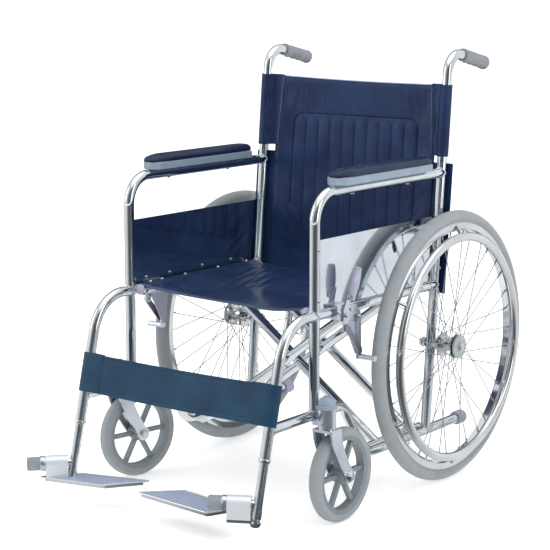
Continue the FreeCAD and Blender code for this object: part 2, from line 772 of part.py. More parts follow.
def footrest(side, sign, sleeve_turn, plate_corners):
    """The inner leg tube with its hinge spindle, and the footplate that flips about it."""
    x = sign * dim["frame_half"]
    radius = dim["inner_leg_radius"]
    bottom = dim["foot_height"]
    overlap = 88
    top = dim["leg_joint_height"] + overlap
    hinge_z = dim["sleeve_height"]
    leg, leg_solid = add_tube([(x, leg_y(bottom), bottom), (x, leg_y(top), top)], 0,
                              radius, radius - dim["tube_wall"])
    along = Rotation(ALONG_Z, sleeve_turn).multVec(Vector(0, -1, 0))
    root = Vector(x, leg_y(hinge_z), hinge_z)
    spindle_radius = dim["spindle_radius"]
    spindle = cut(add_rod(spindle_radius, root, root + along * 68), [leg_solid])
    cap = add_rod(spindle_radius + 6, root + along * 64, root + along * 98)
    keep(fuse([leg, spindle, cap]), "footrest_" + side)

    bracket_start = 13
    bracket_length = 48
    half_depth = spindle_radius + 9
    gauge = dim["plate_gauge"]
    plate_foot = dim["plate_height"] - gauge
    turn = Rotation(ALONG_X, along)
    across = turn.multVec(ALONG_Y)

    def beside(start, offset, z):
        point = root + along * start + across * offset
        return (point.x, point.y, z)

    drop = dim["sleeve_height"] - plate_foot
    shell = fuse([
        add_box((bracket_length, 2 * half_depth, drop),
                beside(bracket_start, -float(half_depth), plate_foot), turn),
        add_rod(half_depth, root + along * bracket_start,
                root + along * (bracket_start + bracket_length))])
    hollow = add_box((bracket_length + 2, 2 * spindle_radius, drop - gauge),
                     beside(bracket_start - 1, -float(spindle_radius), dim["plate_height"]), turn)
    hinge_hole = add_rod(spindle_radius + dim["running_gap"], root, root + along * 100)

    body = add_body("plate_sheet_" + side)
    block = pad(body, add_outline(body, "XY_Plane", plate_corners), gauge)
    round_edges(body, block, 9, lambda edge: abs(edge.Vertexes[0].Z - edge.Vertexes[-1].Z) > 1)
    place(body, (0, AXLE_Y, plate_foot))
    keep(cut(fuse([body, shell]), [hollow, hinge_hole]), "footplate_" + side)


# -------------------------------------------------------------- cross brace

BRACE_BOLT = 5


def cross_frame(name, lower_sign, first_reach):
    """Two diagonals with a pivot tube at the foot and a seat rail at the head."""
    half = dim["frame_half"] - dim["pivot_inset"]
    low = dim["low_rail_height"]
    high = dim["seat_height"]
    foot_x = lower_sign * half
    head_x = -lower_sign * half
    tube_front = AXLE_Y - dim["brace_front"] - dim["brace_pitch"] - 2
    tube_rear = AXLE_Y - 12
    rail_front = AXLE_Y - dim["seat_front"]
    rail_rear = AXLE_Y - dim["seat_rear"]

    def along_tubes(pivot_radius, rail_radius, room=0):
        """A rod along the pivot tube, and one along the seat rail."""
        return [
            add_rod(pivot_radius, (foot_x, tube_front - room, low), (foot_x, tube_rear + room, low)),
            add_rod(rail_radius, (head_x, rail_front - room, high), (head_x, rail_rear + room, high))]

    tubes = along_tubes(R_TUBE, R_TUBE)
    tube_bores = along_tubes(PIVOT_PIN + dim["running_gap"], R_BORE, 1)
    diagonals = []
    bores = []
    holes = []
    for reach in (first_reach, first_reach - dim["brace_span"]):
        y = AXLE_Y - reach
        foot = Vector(foot_x, y, low)
        head = Vector(head_x, y, high)
        diagonals.append(add_rod(R_TUBE, foot, head))
        bores.append(add_rod(R_BORE, foot, head))
        holes.append(add_cylinder(BRACE_BOLT + dim["running_gap"], 40,
                                  (0, y - 20, (low + high) / 2), ALONG_Y))
    hollow = cut(fuse(diagonals), bores)
    ends = cut(hollow, along_tubes(R_TUBE - 0.5, R_TUBE - 0.5))
    keep(cut(fuse([ends] + tubes), tube_bores + holes), name)


def brace_bolts():
    """The two bolts that pin the cross frames together at their middles."""
    bolts = []
    z = (dim["low_rail_height"] + dim["seat_height"]) / 2
    for reach in (dim["brace_front"], dim["brace_front"] - dim["brace_span"]):
        start = AXLE_Y - reach - R_TUBE - 1
        length = dim["brace_pitch"] + 2 * R_TUBE + 2
        head = 6
        bolts.append(fuse([
            add_cylinder(BRACE_BOLT, length, (0, start, z), ALONG_Y),
            add_cylinder(8, head, (0, start - head + 0.5, z), ALONG_Y),
            add_cylinder(8, head, (0, start + length - 0.5, z), ALONG_Y)]))
    keep(group(bolts), "brace_bolts")


# --------------------------------------------------------------- upholstery

def seat_sling():
    """The sagging sheet between the two seat rails."""
    half = dim["frame_half"] - dim["pivot_inset"] + 8
    top = float(dim["seat_height"] + R_TUBE) + TOUCH
    cloth = float(dim["cloth"])
    sag = float(dim["seat_sag"])
    depth = float(dim["seat_front"] - dim["seat_rear"]) - 4
    edge = 20
    front = float(AXLE_Y - dim["seat_front"]) + 2
    inner = float(half) - edge

    def level(height, drop):
        ends = [Vector(-half, front, height), Vector(-inner, front, height),
                Vector(0, front, height - drop), Vector(inner, front, height),
                Vector(half, front, height)]
        return [Part.LineSegment(ends[0], ends[1]).toShape(),
                Part.Arc(ends[1], ends[2], ends[3]).toShape(),
                Part.LineSegment(ends[3], ends[4]).toShape()], ends
    lower, lower_ends = level(top, sag)
    upper, upper_ends = level(top + cloth, sag)
    sides = [Part.LineSegment(lower_ends[0], upper_ends[0]).toShape(),
             Part.LineSegment(lower_ends[-1], upper_ends[-1]).toShape()]
    wire = Part.Wire(Part.__sortEdges__(lower + upper + sides))
    item = doc.addObject("Part::Feature", "Sling")
    item.Shape = Part.Face(wire).extrude(Vector(0, depth, 0))
    keep(item, "seat")


def backrest():
    """The sheet between the rear posts, with a sleeve round each post."""
    lean = Rotation(ALONG_X, -float(dim["post_lean"]))
    slope = 1 / math.cos(math.radians(dim["post_lean"]))
    foot = float(dim["back_foot"])
    half = dim["frame_half"]
    clear = R_TUBE + 0.5
    sleeve_wall = 2
    sheet_half = half - clear - sleeve_wall / 2
    panel = add_box((2 * sheet_half, dim["cloth"], (float(dim["back_top"]) - foot) * slope),
                    (-sheet_half, post_y(foot) - 2, foot), lean)
    pieces = [panel]
    sleeve_foot = float(dim["sleeve_foot"])
    up = lean.multVec(ALONG_Z)
    for sign in (1, -1):
        start = (sign * half, post_y(sleeve_foot), sleeve_foot)
        length = (float(dim["back_top"]) - sleeve_foot) * slope
        outer = add_cylinder(clear + sleeve_wall, length, start, up)
        hole_foot = sleeve_foot - 40
        hole = add_cylinder(clear, length * 2, (start[0], post_y(hole_foot), hole_foot), up)
        pieces.append(cut(outer, [hole]))
    keep(fuse(pieces), "backrest")


def calf_strap():
    """The band in front of the two legs."""
    top = float(dim["strap_top"])
    foot = float(dim["strap_foot"])
    run = Vector(0, leg_y(top) - leg_y(foot), top - foot)
    lean = Rotation(ALONG_Z, run)
    gauge = 3
    forward = lean.multVec(Vector(0, -1, 0)) * (float(R_TUBE) + 0.5 + gauge)
    half = dim["frame_half"] + R_TUBE + 2
    keep(add_box((2 * half, gauge, run.Length),
                 (-half, leg_y(foot) + forward.y, foot + forward.z), lean), "calf_strap")


# ------------------------------------------------------------------ assembly

for side_name, side_sign in SIDES:
    solids = side_frame_tubes(side_name, side_sign)
    rail_form, post_form, lower_form, arm_form = solids
    caster_barrel(side_name, side_sign, [arm_form, lower_form])
    push_grip(side_name, side_sign)
    tail_tip(side_name, side_sign)
    armrest(side_name, side_sign)
    side_panel(side_name, side_sign, [rail_form, post_form, arm_form])
    seat_saddles(side_name, side_sign, rail_form)
    rear_axle(side_name, side_sign)
    rear_wheel(side_name, side_sign)
    brake(side_name, side_sign, [rail_form])
caster("left", 1, 0)
caster("right", -1, -11)
footrest("left", 1, -62, ((-59, -659), (150, -681), (180, -611), (15, -586)))
footrest("right", -1, -44, ((-304, -704), (-144, -664), (-83, -577), (-246, -626)))
cross_frame("cross_frame_a", 1, dim["brace_front"] - dim["brace_pitch"])
cross_frame("cross_frame_b", -1, dim["brace_front"])
brace_bolts()
seat_sling()
backrest()
calf_strap()

doc.recompute()

problems = [item.Label for item in doc.Objects if "Invalid" in item.State or "Error" in item.State]
for item in nodes:
    if item.Shape.isNull() or not item.Shape.isValid():
        problems.append(item.Label + " has no valid shape")
if problems:
    raise RuntimeError("failed: " + ", ".join(problems))

os.makedirs("parts", exist_ok=True)
for item in nodes:
    item.Shape.exportStep("parts/%s.step" % item.Label)
    box = item.Shape.BoundBox
    print("%-20s %9.1f cm3  x %7.1f %7.1f  y %7.1f %7.1f  z %7.1f %7.1f" % (
        item.Label, item.Shape.Volume / 1000,
        box.XMin, box.XMax, box.YMin, box.YMax, box.ZMin, box.ZMax))
print(len(nodes), "sub-parts")
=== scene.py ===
import json
from math import copysign, cos, exp, pi, radians, sin, sqrt, tan

import bpy
import numpy as np
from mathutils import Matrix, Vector


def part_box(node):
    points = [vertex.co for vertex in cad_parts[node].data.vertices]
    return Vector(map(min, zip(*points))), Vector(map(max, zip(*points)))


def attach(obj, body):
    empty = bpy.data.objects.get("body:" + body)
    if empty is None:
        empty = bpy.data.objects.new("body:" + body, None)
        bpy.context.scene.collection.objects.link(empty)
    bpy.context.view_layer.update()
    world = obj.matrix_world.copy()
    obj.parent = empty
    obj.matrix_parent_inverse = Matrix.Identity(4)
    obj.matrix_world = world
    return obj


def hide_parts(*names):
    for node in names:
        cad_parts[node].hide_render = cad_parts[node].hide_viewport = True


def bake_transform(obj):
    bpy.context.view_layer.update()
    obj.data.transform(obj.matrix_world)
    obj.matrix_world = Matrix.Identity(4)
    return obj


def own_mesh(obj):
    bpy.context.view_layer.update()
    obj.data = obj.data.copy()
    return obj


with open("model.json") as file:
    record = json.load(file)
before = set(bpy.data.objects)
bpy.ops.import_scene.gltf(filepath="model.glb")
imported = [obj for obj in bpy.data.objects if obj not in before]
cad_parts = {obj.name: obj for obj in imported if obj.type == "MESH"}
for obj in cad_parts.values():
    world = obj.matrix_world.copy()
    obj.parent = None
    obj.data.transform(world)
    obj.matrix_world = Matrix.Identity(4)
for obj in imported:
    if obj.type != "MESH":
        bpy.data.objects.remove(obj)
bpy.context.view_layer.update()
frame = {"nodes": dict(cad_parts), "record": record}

# The looks of a folding manual wheelchair, in metres. +Z is up, the chair faces -Y,
# and the occupant's left is +X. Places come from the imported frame's own boxes.

scene = bpy.context.scene

SIDES = (("left", 1), ("right", -1))
ALONG_X = Vector((1, 0, 0))
ALONG_Y = Vector((0, 1, 0))
ALONG_Z = Vector((0, 0, 1))
MM = 0.001


def middle_of(node):
    low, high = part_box(node)
    return (low + high) / 2


def reach_of(node, sign):
    """The X where a node ends towards +X or -X."""
    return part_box(node)[sign > 0].x


# ---- measures of the frame
# Radii and places that no box gives repeat part.py's. Lengths named AHEAD are from the rear axle.

TUBE = 11.1 * MM
FRAME_X = middle_of("arm_tube_left").x
AXLE = middle_of("rim_left")
WHEEL_X = AXLE.x
POST_SLOPE = tan(radians(5.1))
ARM_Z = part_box("arm_base_left")[0].z - TUBE
RAIL_Z = 0.438
LOW_RAIL_Z = middle_of("rear_tip_left").z
FRONT_RAIL_Z = 0.231
LEG_TOP_AHEAD = 0.555
LEG_FOOT_AHEAD = 0.648
LEG_FOOT_Z = 0.072
LEG_SLOPE = (LEG_FOOT_AHEAD - LEG_TOP_AHEAD) / (RAIL_Z - LEG_FOOT_Z)
SEAT_RAIL_X = FRAME_X - 0.024
SEAT_RAIL_Z = 0.441
FRONT_POST_Y = AXLE.y - 0.454
STEM_X = 0.285
STEM_Y = AXLE.y - 0.457
TYRE_RADIUS = 0.305
RIM_RADIUS = 0.279


def post_y(z):
    """Where the leaning rear post is at a height."""
    return AXLE.y + (z - AXLE.z) * POST_SLOPE


def leg_y(z):
    """Where the slanting leg tube is at a height."""
    return AXLE.y - LEG_TOP_AHEAD - (RAIL_Z - z) * LEG_SLOPE


# ---- camera and studio

def facing_object(name, data, place, target):
    """A camera or lamp at a place, turned to face a target."""
    thing = bpy.data.objects.new(name, data)
    scene.collection.objects.link(thing)
    thing.location = place
    thing.rotation_euler = (Vector(target) - Vector(place)).to_track_quat("-Z", "Y").to_euler()
    return thing


def add_camera():
    data = bpy.data.cameras.new("camera")
    data.sensor_width = 36
    data.lens = 110.6
    scene.camera = facing_object("camera", data, (2.2087, -2.9960, 1.1130), (-0.7045, 0.8982, 0.2644))


def add_softbox(name, place, target, width, height, power):
    data = bpy.data.lights.new(name, "AREA")
    data.shape = "RECTANGLE"
    data.size = width
    data.size_y = height
    data.energy = power
    facing_object(name, data, place, target).visible_camera = False


def add_node(tree, kind, inputs, **settings):
    """A new node with its settings, and each input set to a value or linked to a socket."""
    node = tree.nodes.new("ShaderNode" + kind)
    for name, value in settings.items():
        setattr(node, name, value)
    for name, value in inputs.items():
        if isinstance(value, bpy.types.NodeSocket):
            tree.links.new(value, node.inputs[name])
        else:
            node.inputs[name].default_value = value
    return node


def room_level(tree, direction):
    """The studio's brightness in a direction: pale at the sides, dark towards the camera and away from it."""
    unit = add_node(tree, "VectorMath", {0: direction}, operation="NORMALIZE")
    facing = add_node(tree, "VectorMath", {0: unit.outputs[0], 1: (0.70, -0.714, 0)}, operation="DOT_PRODUCT")
    half = add_node(tree, "Math", {0: facing.outputs["Value"], 1: 0.5, 2: 0.5}, operation="MULTIPLY_ADD")
    walls = add_node(tree, "ValToRGB", {"Fac": half.outputs[0]})
    stops = walls.color_ramp.elements
    stops[0].color = (0.12, 0.13, 0.14, 1)
    stops[1].color = (0.09, 0.10, 0.11, 1)
    for position, level in ((0.11, 0.20), (0.17, 0.92), (0.55, 0.85), (0.80, 0.62), (0.89, 0.20)):
        stop = stops.new(position)
        stop.color = (level, level * 1.01, level * 1.04, 1)
    return walls.outputs["Color"]


def add_world():
    """An even white room, and a room with dark ends for what the metal mirrors."""
    world = bpy.data.worlds.new("studio")
    scene.world = world
    world.use_nodes = True
    tree = world.node_tree
    tree.nodes.clear()
    place = add_node(tree, "TexCoord", {})
    room = add_node(tree, "Background", {"Color": room_level(tree, place.outputs["Generated"])})
    backdrop = add_node(tree, "Background", {"Color": (1, 1, 1, 1), "Strength": 1.08})
    rays = add_node(tree, "LightPath", {})
    mix = add_node(tree, "MixShader",
                   {0: rays.outputs["Is Glossy Ray"], 1: backdrop.outputs[0], 2: room.outputs[0]})
    add_node(tree, "OutputWorld", {"Surface": mix.outputs[0]})


add_camera()
add_world()
add_softbox("top_light", (0.3, -0.2, 3.4), (0, 0, 0), 3.2, 3.2, 40)
add_softbox("left_light", (-2.6, -2.2, 1.9), (0, 0, 0.5), 1.4, 2.2, 16)
add_softbox("right_light", (3.0, -0.4, 1.6), (0, 0, 0.5), 1.0, 2.2, 14)
scene.view_settings.view_transform = "Standard"


# ---- finishes

class Finish:
    """A surface whose colour, roughness and relief vary over the piece."""

    def __init__(self, name, colour, roughness, **constants):
        self.material = bpy.data.materials.new(name)
        self.material.use_nodes = True
        tree = self.material.node_tree
        self.shader = tree.nodes["Principled BSDF"]
        self.place = self.add("TexCoord", {})
        self.normal = None
        constants = {"base_color": (*colour, 1), "roughness": roughness, **constants}
        for socket, value in constants.items():
            self.shader.inputs[socket.replace("_", " ").title().replace("Ior", "IOR")].default_value = value
        self.material.diffuse_color = (*colour, 1)

    def add(self, kind, inputs, **settings):
        return add_node(self.material.node_tree, kind, inputs, **settings)

    def drive(self, name, value):
        """Link a value to one of the shader's inputs."""
        self.material.node_tree.links.new(value, self.shader.inputs[name])

    def spread(self, stretch=(1, 1, 1)):
        place = self.place.outputs["Object"]
        return self.add("Mapping", {"Vector": place, "Scale": stretch}).outputs["Vector"]

    def noise(self, scale, detail=3.0, stretch=(1, 1, 1), distortion=0.0):
        return self.add("TexNoise", {"Vector": self.spread(stretch), "Scale": scale, "Detail": detail,
                                     "Distortion": distortion}).outputs["Fac"]

    def pores(self, scale):
        cells = self.add("TexVoronoi", {"Vector": self.spread(), "Scale": scale}, feature="DISTANCE_TO_EDGE")
        return cells.outputs["Distance"]

    def between(self, value, low, high, out_low=0.0, out_high=1.0):
        return self.add("MapRange", {"Value": value, "From Min": low, "From Max": high,
                                     "To Min": out_low, "To Max": out_high}).outputs["Result"]

    def blend(self, value, low, high):
        """A colour between two others, each an RGB triple or another colour socket."""
        low, high = (end if isinstance(end, bpy.types.NodeSocket) else (*end, 1) for end in (low, high))
        return self.add("Mix", {"Factor": value, 6: low, 7: high}, data_type="RGBA").outputs[2]

    def along(self, letter, source="Object"):
        return self.add("SeparateXYZ", {0: self.place.outputs[source]}).outputs[letter]

    def colour(self, value):
        self.drive("Base Color", value)

    def rough(self, value, low, high):
        self.drive("Roughness", self.between(value, 0.3, 0.7, low, high))

    def relief(self, height, depth):
        """A bump on top of those the surface already has."""
        bump = self.add("Bump", {"Height": height, "Distance": depth})
        if self.normal:
            self.material.node_tree.links.new(self.normal, bump.inputs["Normal"])
        self.normal = bump.outputs["Normal"]
        self.drive("Normal", self.normal)


def shaded(colour, share):
    return tuple(channel * share for channel in colour)


def bright_metal(name, colour, low, high, ripple=0.03, metallic=1.0):
    """Plated metal: faint haze in clouds, and a slight ripple in its mirror."""
    finish = Finish(name, colour, low, metallic=metallic)
    cloud = finish.noise(14, 4)
    dust = finish.noise(420, 2)
    finish.colour(finish.blend(finish.between(cloud, 0.35, 0.7), colour, shaded(colour, 0.86)))
    finish.rough(cloud, low, high)
    finish.relief(finish.noise(46, 2), ripple * MM)
    finish.relief(dust, 0.004 * MM)
    return finish.material


def moulded(name, colour, roughness, grain, depth=0.05):
    """Moulded plastic or rubber: a fine grain, with paler scuffs."""
    finish = Finish(name, colour, roughness)
    scuff = finish.noise(38, 6)
    finish.colour(finish.blend(finish.between(scuff, 0.5, 0.78), colour, shaded(colour, 1.25)))
    finish.rough(scuff, roughness * 0.88, roughness * 1.1)
    finish.relief(finish.pores(grain), depth * MM)
    finish.relief(finish.noise(150, 3), 0.05 * MM)
    return finish.material


def vinyl(name, shade_colour, lit, crease=0.5, gloss=0.06):
    """Coated cloth: leather grain and soft creases, with painted light: a shade colour low in the creases and
    a lit colour on the high spots.
    """
    finish = Finish(name, shade_colour, 0.36, coat_weight=gloss, coat_roughness=0.2, specular_ior_level=0.2)
    folds_and_painted_light = finish.noise(13, 4, distortion=0.4)
    # Painted light: the colour follows the crease bump, the shade colour in the hollows and the lit colour on
    # the high spots.
    finish.colour(finish.blend(finish.between(folds_and_painted_light, 0.34, 0.70), shade_colour, lit))
    finish.rough(finish.noise(60, 3), 0.32, 0.46)
    finish.relief(folds_and_painted_light, crease * MM)
    finish.relief(finish.pores(950), 0.05 * MM)
    return finish.material


def grey_rubber_tread(name, colour):
    """Pale grey tyre rubber with dust in its grain."""
    finish = Finish(name, colour, 0.62, sheen_weight=0.15)
    dust = finish.noise(26, 6)
    finish.colour(finish.blend(finish.between(dust, 0.35, 0.75), colour, shaded(colour, 0.86)))
    finish.rough(dust, 0.55, 0.72)
    finish.relief(finish.pores(700), 0.06 * MM)
    return finish.material


def plate_finish(name):
    """A footplate: chrome sides, a satin hinge bracket, and a pale brushed top."""
    finish = Finish(name, (0.72, 0.75, 0.80), 0.2)
    upward = finish.between(finish.along("Z", "Normal"), 0.75, 0.95)
    sides = finish.between(finish.along("Z"), 0.0588, 0.0595)
    bracket = finish.between(finish.along("Z"), 0.0602, 0.0608)
    top = finish.add("Math", {0: upward, 1: sides}, operation="MULTIPLY").outputs[0]
    brushing = finish.noise(60, 5, stretch=(1, 6, 1))
    painted = finish.blend(finish.between(brushing, 0.35, 0.75), (0.37, 0.43, 0.60), (0.44, 0.50, 0.66))
    whole = finish.blend(top, (0.74, 0.77, 0.80), painted)
    finish.colour(finish.blend(bracket, whole, (0.62, 0.66, 0.69)))
    finish.drive("Metallic", finish.between(sides, 0, 1, 1.0, 0.3))
    finish.drive("Roughness", finish.between(top, 0, 1, 0.16, 0.38))
    finish.relief(finish.pores(420), 0.08 * MM)
    return finish.material


CHROME = bright_metal("chrome_tube", (0.76, 0.81, 0.83), 0.05, 0.12)
CAST = bright_metal("chrome_cast", (0.66, 0.71, 0.78), 0.16, 0.26, 0.06, 0.88)
RIM = bright_metal("chrome_rim", (0.78, 0.80, 0.81), 0.07, 0.15)
HUB = bright_metal("chrome_hub", (0.66, 0.69, 0.69), 0.12, 0.22)
SPOKE = bright_metal("spoke_wire", (0.40, 0.41, 0.43), 0.24, 0.36, metallic=0.7)
ZINC = bright_metal("zinc_bolt", (0.72, 0.73, 0.75), 0.22, 0.36)
DARK_STEEL = bright_metal("dark_steel", (0.36, 0.36, 0.42), 0.26, 0.4)
PANEL = bright_metal("polished_panel", (0.78, 0.84, 0.89), 0.05, 0.09, 0.05)
GRIP = moulded("grey_grip", (0.20, 0.22, 0.24), 0.52, 900, 0.08)
MOULDING = moulded("grey_moulding", (0.20, 0.26, 0.33), 0.40, 1100)
LILAC = moulded("lilac_plastic", (0.31, 0.32, 0.41), 0.36, 900)
HUB_GREY = moulded("hub_grey", (0.30, 0.34, 0.35), 0.34, 900)
CAP_GREY = moulded("cap_grey", (0.22, 0.27, 0.33), 0.36, 900)
WHEEL_GREY = moulded("grey_wheel", (0.17, 0.20, 0.22), 0.38, 800, 0.06)
DARK_RUBBER = moulded("dark_rubber", (0.025, 0.026, 0.03), 0.55, 900, 0.08)
TIP_RUBBER = moulded("grey_rubber", (0.19, 0.22, 0.24), 0.55, 900, 0.08)
TYRE = grey_rubber_tread("grey_tyre", (0.25, 0.275, 0.29))
PLATE = plate_finish("polished_plate")
# Each vinyl gives a painted-shade colour first and a lit colour second.
PAD_SKIN = vinyl("navy_pad", (0.005, 0.013, 0.040), (0.009, 0.023, 0.062), 0.12, 0.16)
NAVY = vinyl("navy_vinyl", (0.005, 0.014, 0.056), (0.009, 0.028, 0.088))
SEAT_SKIN = vinyl("seat_vinyl", (0.008, 0.019, 0.064), (0.014, 0.038, 0.102), 0.4, 0.7)
TEAL = vinyl("teal_vinyl", (0.006, 0.030, 0.066), (0.008, 0.044, 0.086), 0.3)
# The top binding's pale lilac is a painted highlight along the back's top edge.
HIGHLIGHT_EDGING = moulded("edge_binding_painted_highlight", (0.40, 0.42, 0.56), 0.34, 1100)
# The sleeve seam's pale bead is partly a real seam and partly a painted highlight along the seam's edge.
HIGHLIGHT_PIPING = moulded("sleeve_piping_painted_highlight", (0.05, 0.07, 0.14), 0.4, 1500, 0.08)
SEAM = moulded("seam_thread", (0.03, 0.045, 0.09), 0.5, 1500, 0.08)

CAD_FINISHES = {
    "chrome_tube": CHROME, "chrome_cast": CAST, "dark_steel": DARK_STEEL, "zinc_bolt": ZINC,
    "grey_grip": GRIP, "grey_moulding": MOULDING, "navy_pad": PAD_SKIN, "polished_panel": PANEL,
    "grey_tyre": TYRE, "chrome_rim": RIM, "spoke_wire": SPOKE, "chrome_hub": HUB,
    "grey_wheel": WHEEL_GREY, "polished_plate": PLATE, "navy_vinyl": NAVY, "teal_vinyl": TEAL,
}
for subpart in frame["record"]["subparts"]:
    node = frame["nodes"][subpart["node"]]
    node.data.materials.clear()
    node.data.materials.append(CAD_FINISHES[subpart["material_slot"]])


# ---- mesh helpers

def across(axis):
    """Two directions square to an axis and to each other."""
    axis = Vector(axis).normalized()
    first = axis.orthogonal().normalized()
    return first, axis.cross(first)


def loft(rows, ring=True, caps=True, closed=False):
    """Faces over rows of points. A row is a ring or an open line; closed joins the last row to the first."""
    count = len(rows[0])
    points = [tuple(point) for row in rows for point in row]
    faces = []
    spans = len(rows) if closed else len(rows) - 1
    for i in range(spans):
        here = i * count
        there = ((i + 1) % len(rows)) * count
        for j in range(count if ring else count - 1):
            k = (j + 1) % count
            faces.append((here + j, here + k, there + k, there + j))
    if ring and caps and not closed:
        faces.append(tuple(reversed(range(count))))
        faces.append(tuple(range((len(rows) - 1) * count, len(rows) * count)))
    return points, faces


def turns(count):
    """Equal steps round a full turn, in radians."""
    return [2 * pi * i / count for i in range(count)]


def ring_at(centre, axis, radius, count):
    first, second = across(axis)
    return [Vector(centre) + (first * cos(t) + second * sin(t)) * radius for t in turns(count)]


def lathe(outline, base, axis, count=48):
    """A turned form: outline points are (radius, distance along the axis)."""
    axis = Vector(axis).normalized()
    rows = [ring_at(Vector(base) + axis * far, axis, radius, count) for radius, far in outline]
    return loft(rows)


def pipe(points, radius, count=12, closed=False):
    """A round bar along points, its ring kept from twisting."""
    points = [Vector(point) for point in points]
    total = len(points)
    rows = []
    side = None
    for i, point in enumerate(points):
        before = points[(i - 1) % total] if closed or i else point
        after = points[(i + 1) % total] if closed or i < total - 1 else point
        run = (after - before).normalized()
        side = run.orthogonal() if side is None else side - run * side.dot(run)
        side.normalize()
        up = run.cross(side)
        size = radius(i / total) if callable(radius) else radius
        rows.append([point + (side * cos(t) + up * sin(t)) * size for t in turns(count)])
    return loft(rows, closed=closed)


def hex_bolt(base, axis, across_flats, height):
    """A washer and a chamfered hexagon head, standing on a base point."""
    axis = Vector(axis).normalized()
    corner = across_flats / sqrt(3)
    washer = 0.18 * height
    head = ((corner, washer), (corner, washer + 0.8 * height), (corner * 0.88, washer + height))
    rows = [ring_at(Vector(base) + axis * far, axis, radius, 6) for radius, far in head]
    disc = lathe(((corner * 1.25, 0), (corner * 1.25, washer * 0.8), (corner * 1.18, washer)), base, axis, 24)
    return [disc, loft(rows)]


def mm(*points):
    """An outline given in millimetres, in metres."""
    return [(radius * MM, far * MM) for radius, far in points]


def stitch(*points):
    """One sewn stitch: a short thread along points."""
    return pipe(points, 0.45 * MM, 6)


def dome_screw(base, axis, radius):
    """A low domed screw head on a thin cup washer."""
    outline = [(radius * 1.45, 0), (radius * 1.4, radius * 0.25), (radius, radius * 0.35)]
    outline += [(radius * cos(t), radius * (0.35 + 0.6 * sin(t))) for t in (0.35, 0.7, 1.05, 1.35)]
    outline += [(radius * 0.12, radius * 0.82)]
    return [lathe(outline, base, axis, 20)]


def weld_bead(centre, branch, main):
    """The rippled bead where a tube along branch meets a tube along main."""
    branch = Vector(branch).normalized()
    main = Vector(main).normalized()
    first = (main - branch * main.dot(branch)).normalized()
    second = branch.cross(first)
    flat = branch - main * branch.dot(main)
    path = []
    for turn in turns(72):
        offset = (first * cos(turn) + second * sin(turn)) * TUBE
        level = offset - main * offset.dot(main)
        a = flat.dot(flat)
        b = 2 * flat.dot(level)
        c = level.dot(level) - TUBE ** 2
        root = max(b * b - 4 * a * c, 0) ** 0.5
        path.append(Vector(centre) + offset + branch * ((root - b) / (2 * a)))
    return pipe(path, lambda share: 1.7 * MM * (1 + 0.18 * sin(share * 2 * pi * 30)), 8, closed=True)


def new_piece(name, parts, material, crease=38):
    """One object made of several point-and-face parts."""
    points = []
    faces = []
    for part_points, part_faces in parts:
        start = len(points)
        points.extend(part_points)
        faces.extend(tuple(index + start for index in face) for face in part_faces)
    mesh = bpy.data.meshes.new(name)
    mesh.from_pydata(points, [], faces)
    mesh.update()
    mesh.polygons.foreach_set("use_smooth", [True] * len(mesh.polygons))
    mesh.set_sharp_from_angle(angle=radians(crease))
    mesh.materials.append(material)
    piece = bpy.data.objects.new(name, mesh)
    scene.collection.objects.link(piece)
    return piece


def riding(name, parts, material, body, crease=38):
    """A new piece with its material slot, which moves with a body."""
    piece = new_piece(name, parts, material, crease)
    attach(piece, body)
    return piece


def settled(piece):
    """Replace a piece's mesh by its mesh with the modifiers applied."""
    depsgraph = bpy.context.evaluated_depsgraph_get()
    final = bpy.data.meshes.new_from_object(piece.evaluated_get(depsgraph))
    piece.modifiers.clear()
    piece.data = final


def refined(piece):
    """Round a mesh by one level of subdivision."""
    piece.modifiers.new("finer", "SUBSURF").levels = 1
    settled(piece)


def thicken(piece, thickness, offset=-1.0, smooth=0):
    """Give a sheet its thickness, then round it."""
    shell = piece.modifiers.new("shell", "SOLIDIFY")
    shell.thickness = thickness
    shell.offset = offset
    if smooth:
        piece.modifiers.new("rounding", "SUBSURF").levels = smooth
    settled(piece)
    piece.data.polygons.foreach_set("use_smooth", [True] * len(piece.data.polygons))


def sheet_grid(name, point, columns, rows, material):
    """A sheet whose points are a function of two shares, each from 0 to 1."""
    lines = [[point(i / (columns - 1), j / (rows - 1)) for i in range(columns)] for j in range(rows)]
    return new_piece(name, [loft(lines, ring=False)], material, 180)


def positions(piece):
    flat = np.empty(len(piece.data.vertices) * 3)
    piece.data.vertices.foreach_get("co", flat)
    return flat.reshape(-1, 3)


def move_to(piece, points):
    piece.data.vertices.foreach_set("co", np.asarray(points).ravel())
    piece.data.update()


CLOTH_SETTINGS = {
    "quality": 7, "mass": 0.12, "tension_stiffness": 40, "compression_stiffness": 40, "shear_stiffness": 25,
    "bending_stiffness": 0.6, "air_damping": 4}


def drape(piece, held, growth, most):
    """Let a cloth that is a little too large settle between the points that hold it."""
    start = positions(piece)
    group = piece.vertex_groups.new(name="held")
    group.add([int(i) for i in np.nonzero(held(start))[0]], 1.0, "REPLACE")
    cloth = piece.modifiers.new("cloth", "CLOTH")
    for name, value in CLOTH_SETTINGS.items():
        setattr(cloth.settings, name, value)
    cloth.settings.vertex_group_mass = "held"
    cloth.settings.shrink_min = -growth
    cloth.collision_settings.use_collision = False
    last = 24
    cloth.point_cache.frame_end = last
    for step in range(1, last + 1):
        scene.frame_set(step)
    settled(piece)
    scene.frame_set(1)
    moved = positions(piece) - start
    length = np.linalg.norm(moved, axis=1, keepdims=True)
    move_to(piece, start + moved * np.minimum(1, most / np.maximum(length, 1e-9)))


def smoothstep(value, low, high):
    share = np.clip((value - low) / (high - low), 0, 1)
    return share * share * (3 - 2 * share)


# ---- upholstery

SEAT_LOW, SEAT_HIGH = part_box("seat")
SEAT_TOP = SEAT_RAIL_Z + TUBE + 0.8 * MM
SCREW_ROWS = (-0.202, -0.163, -0.082, 0.037, 0.145)


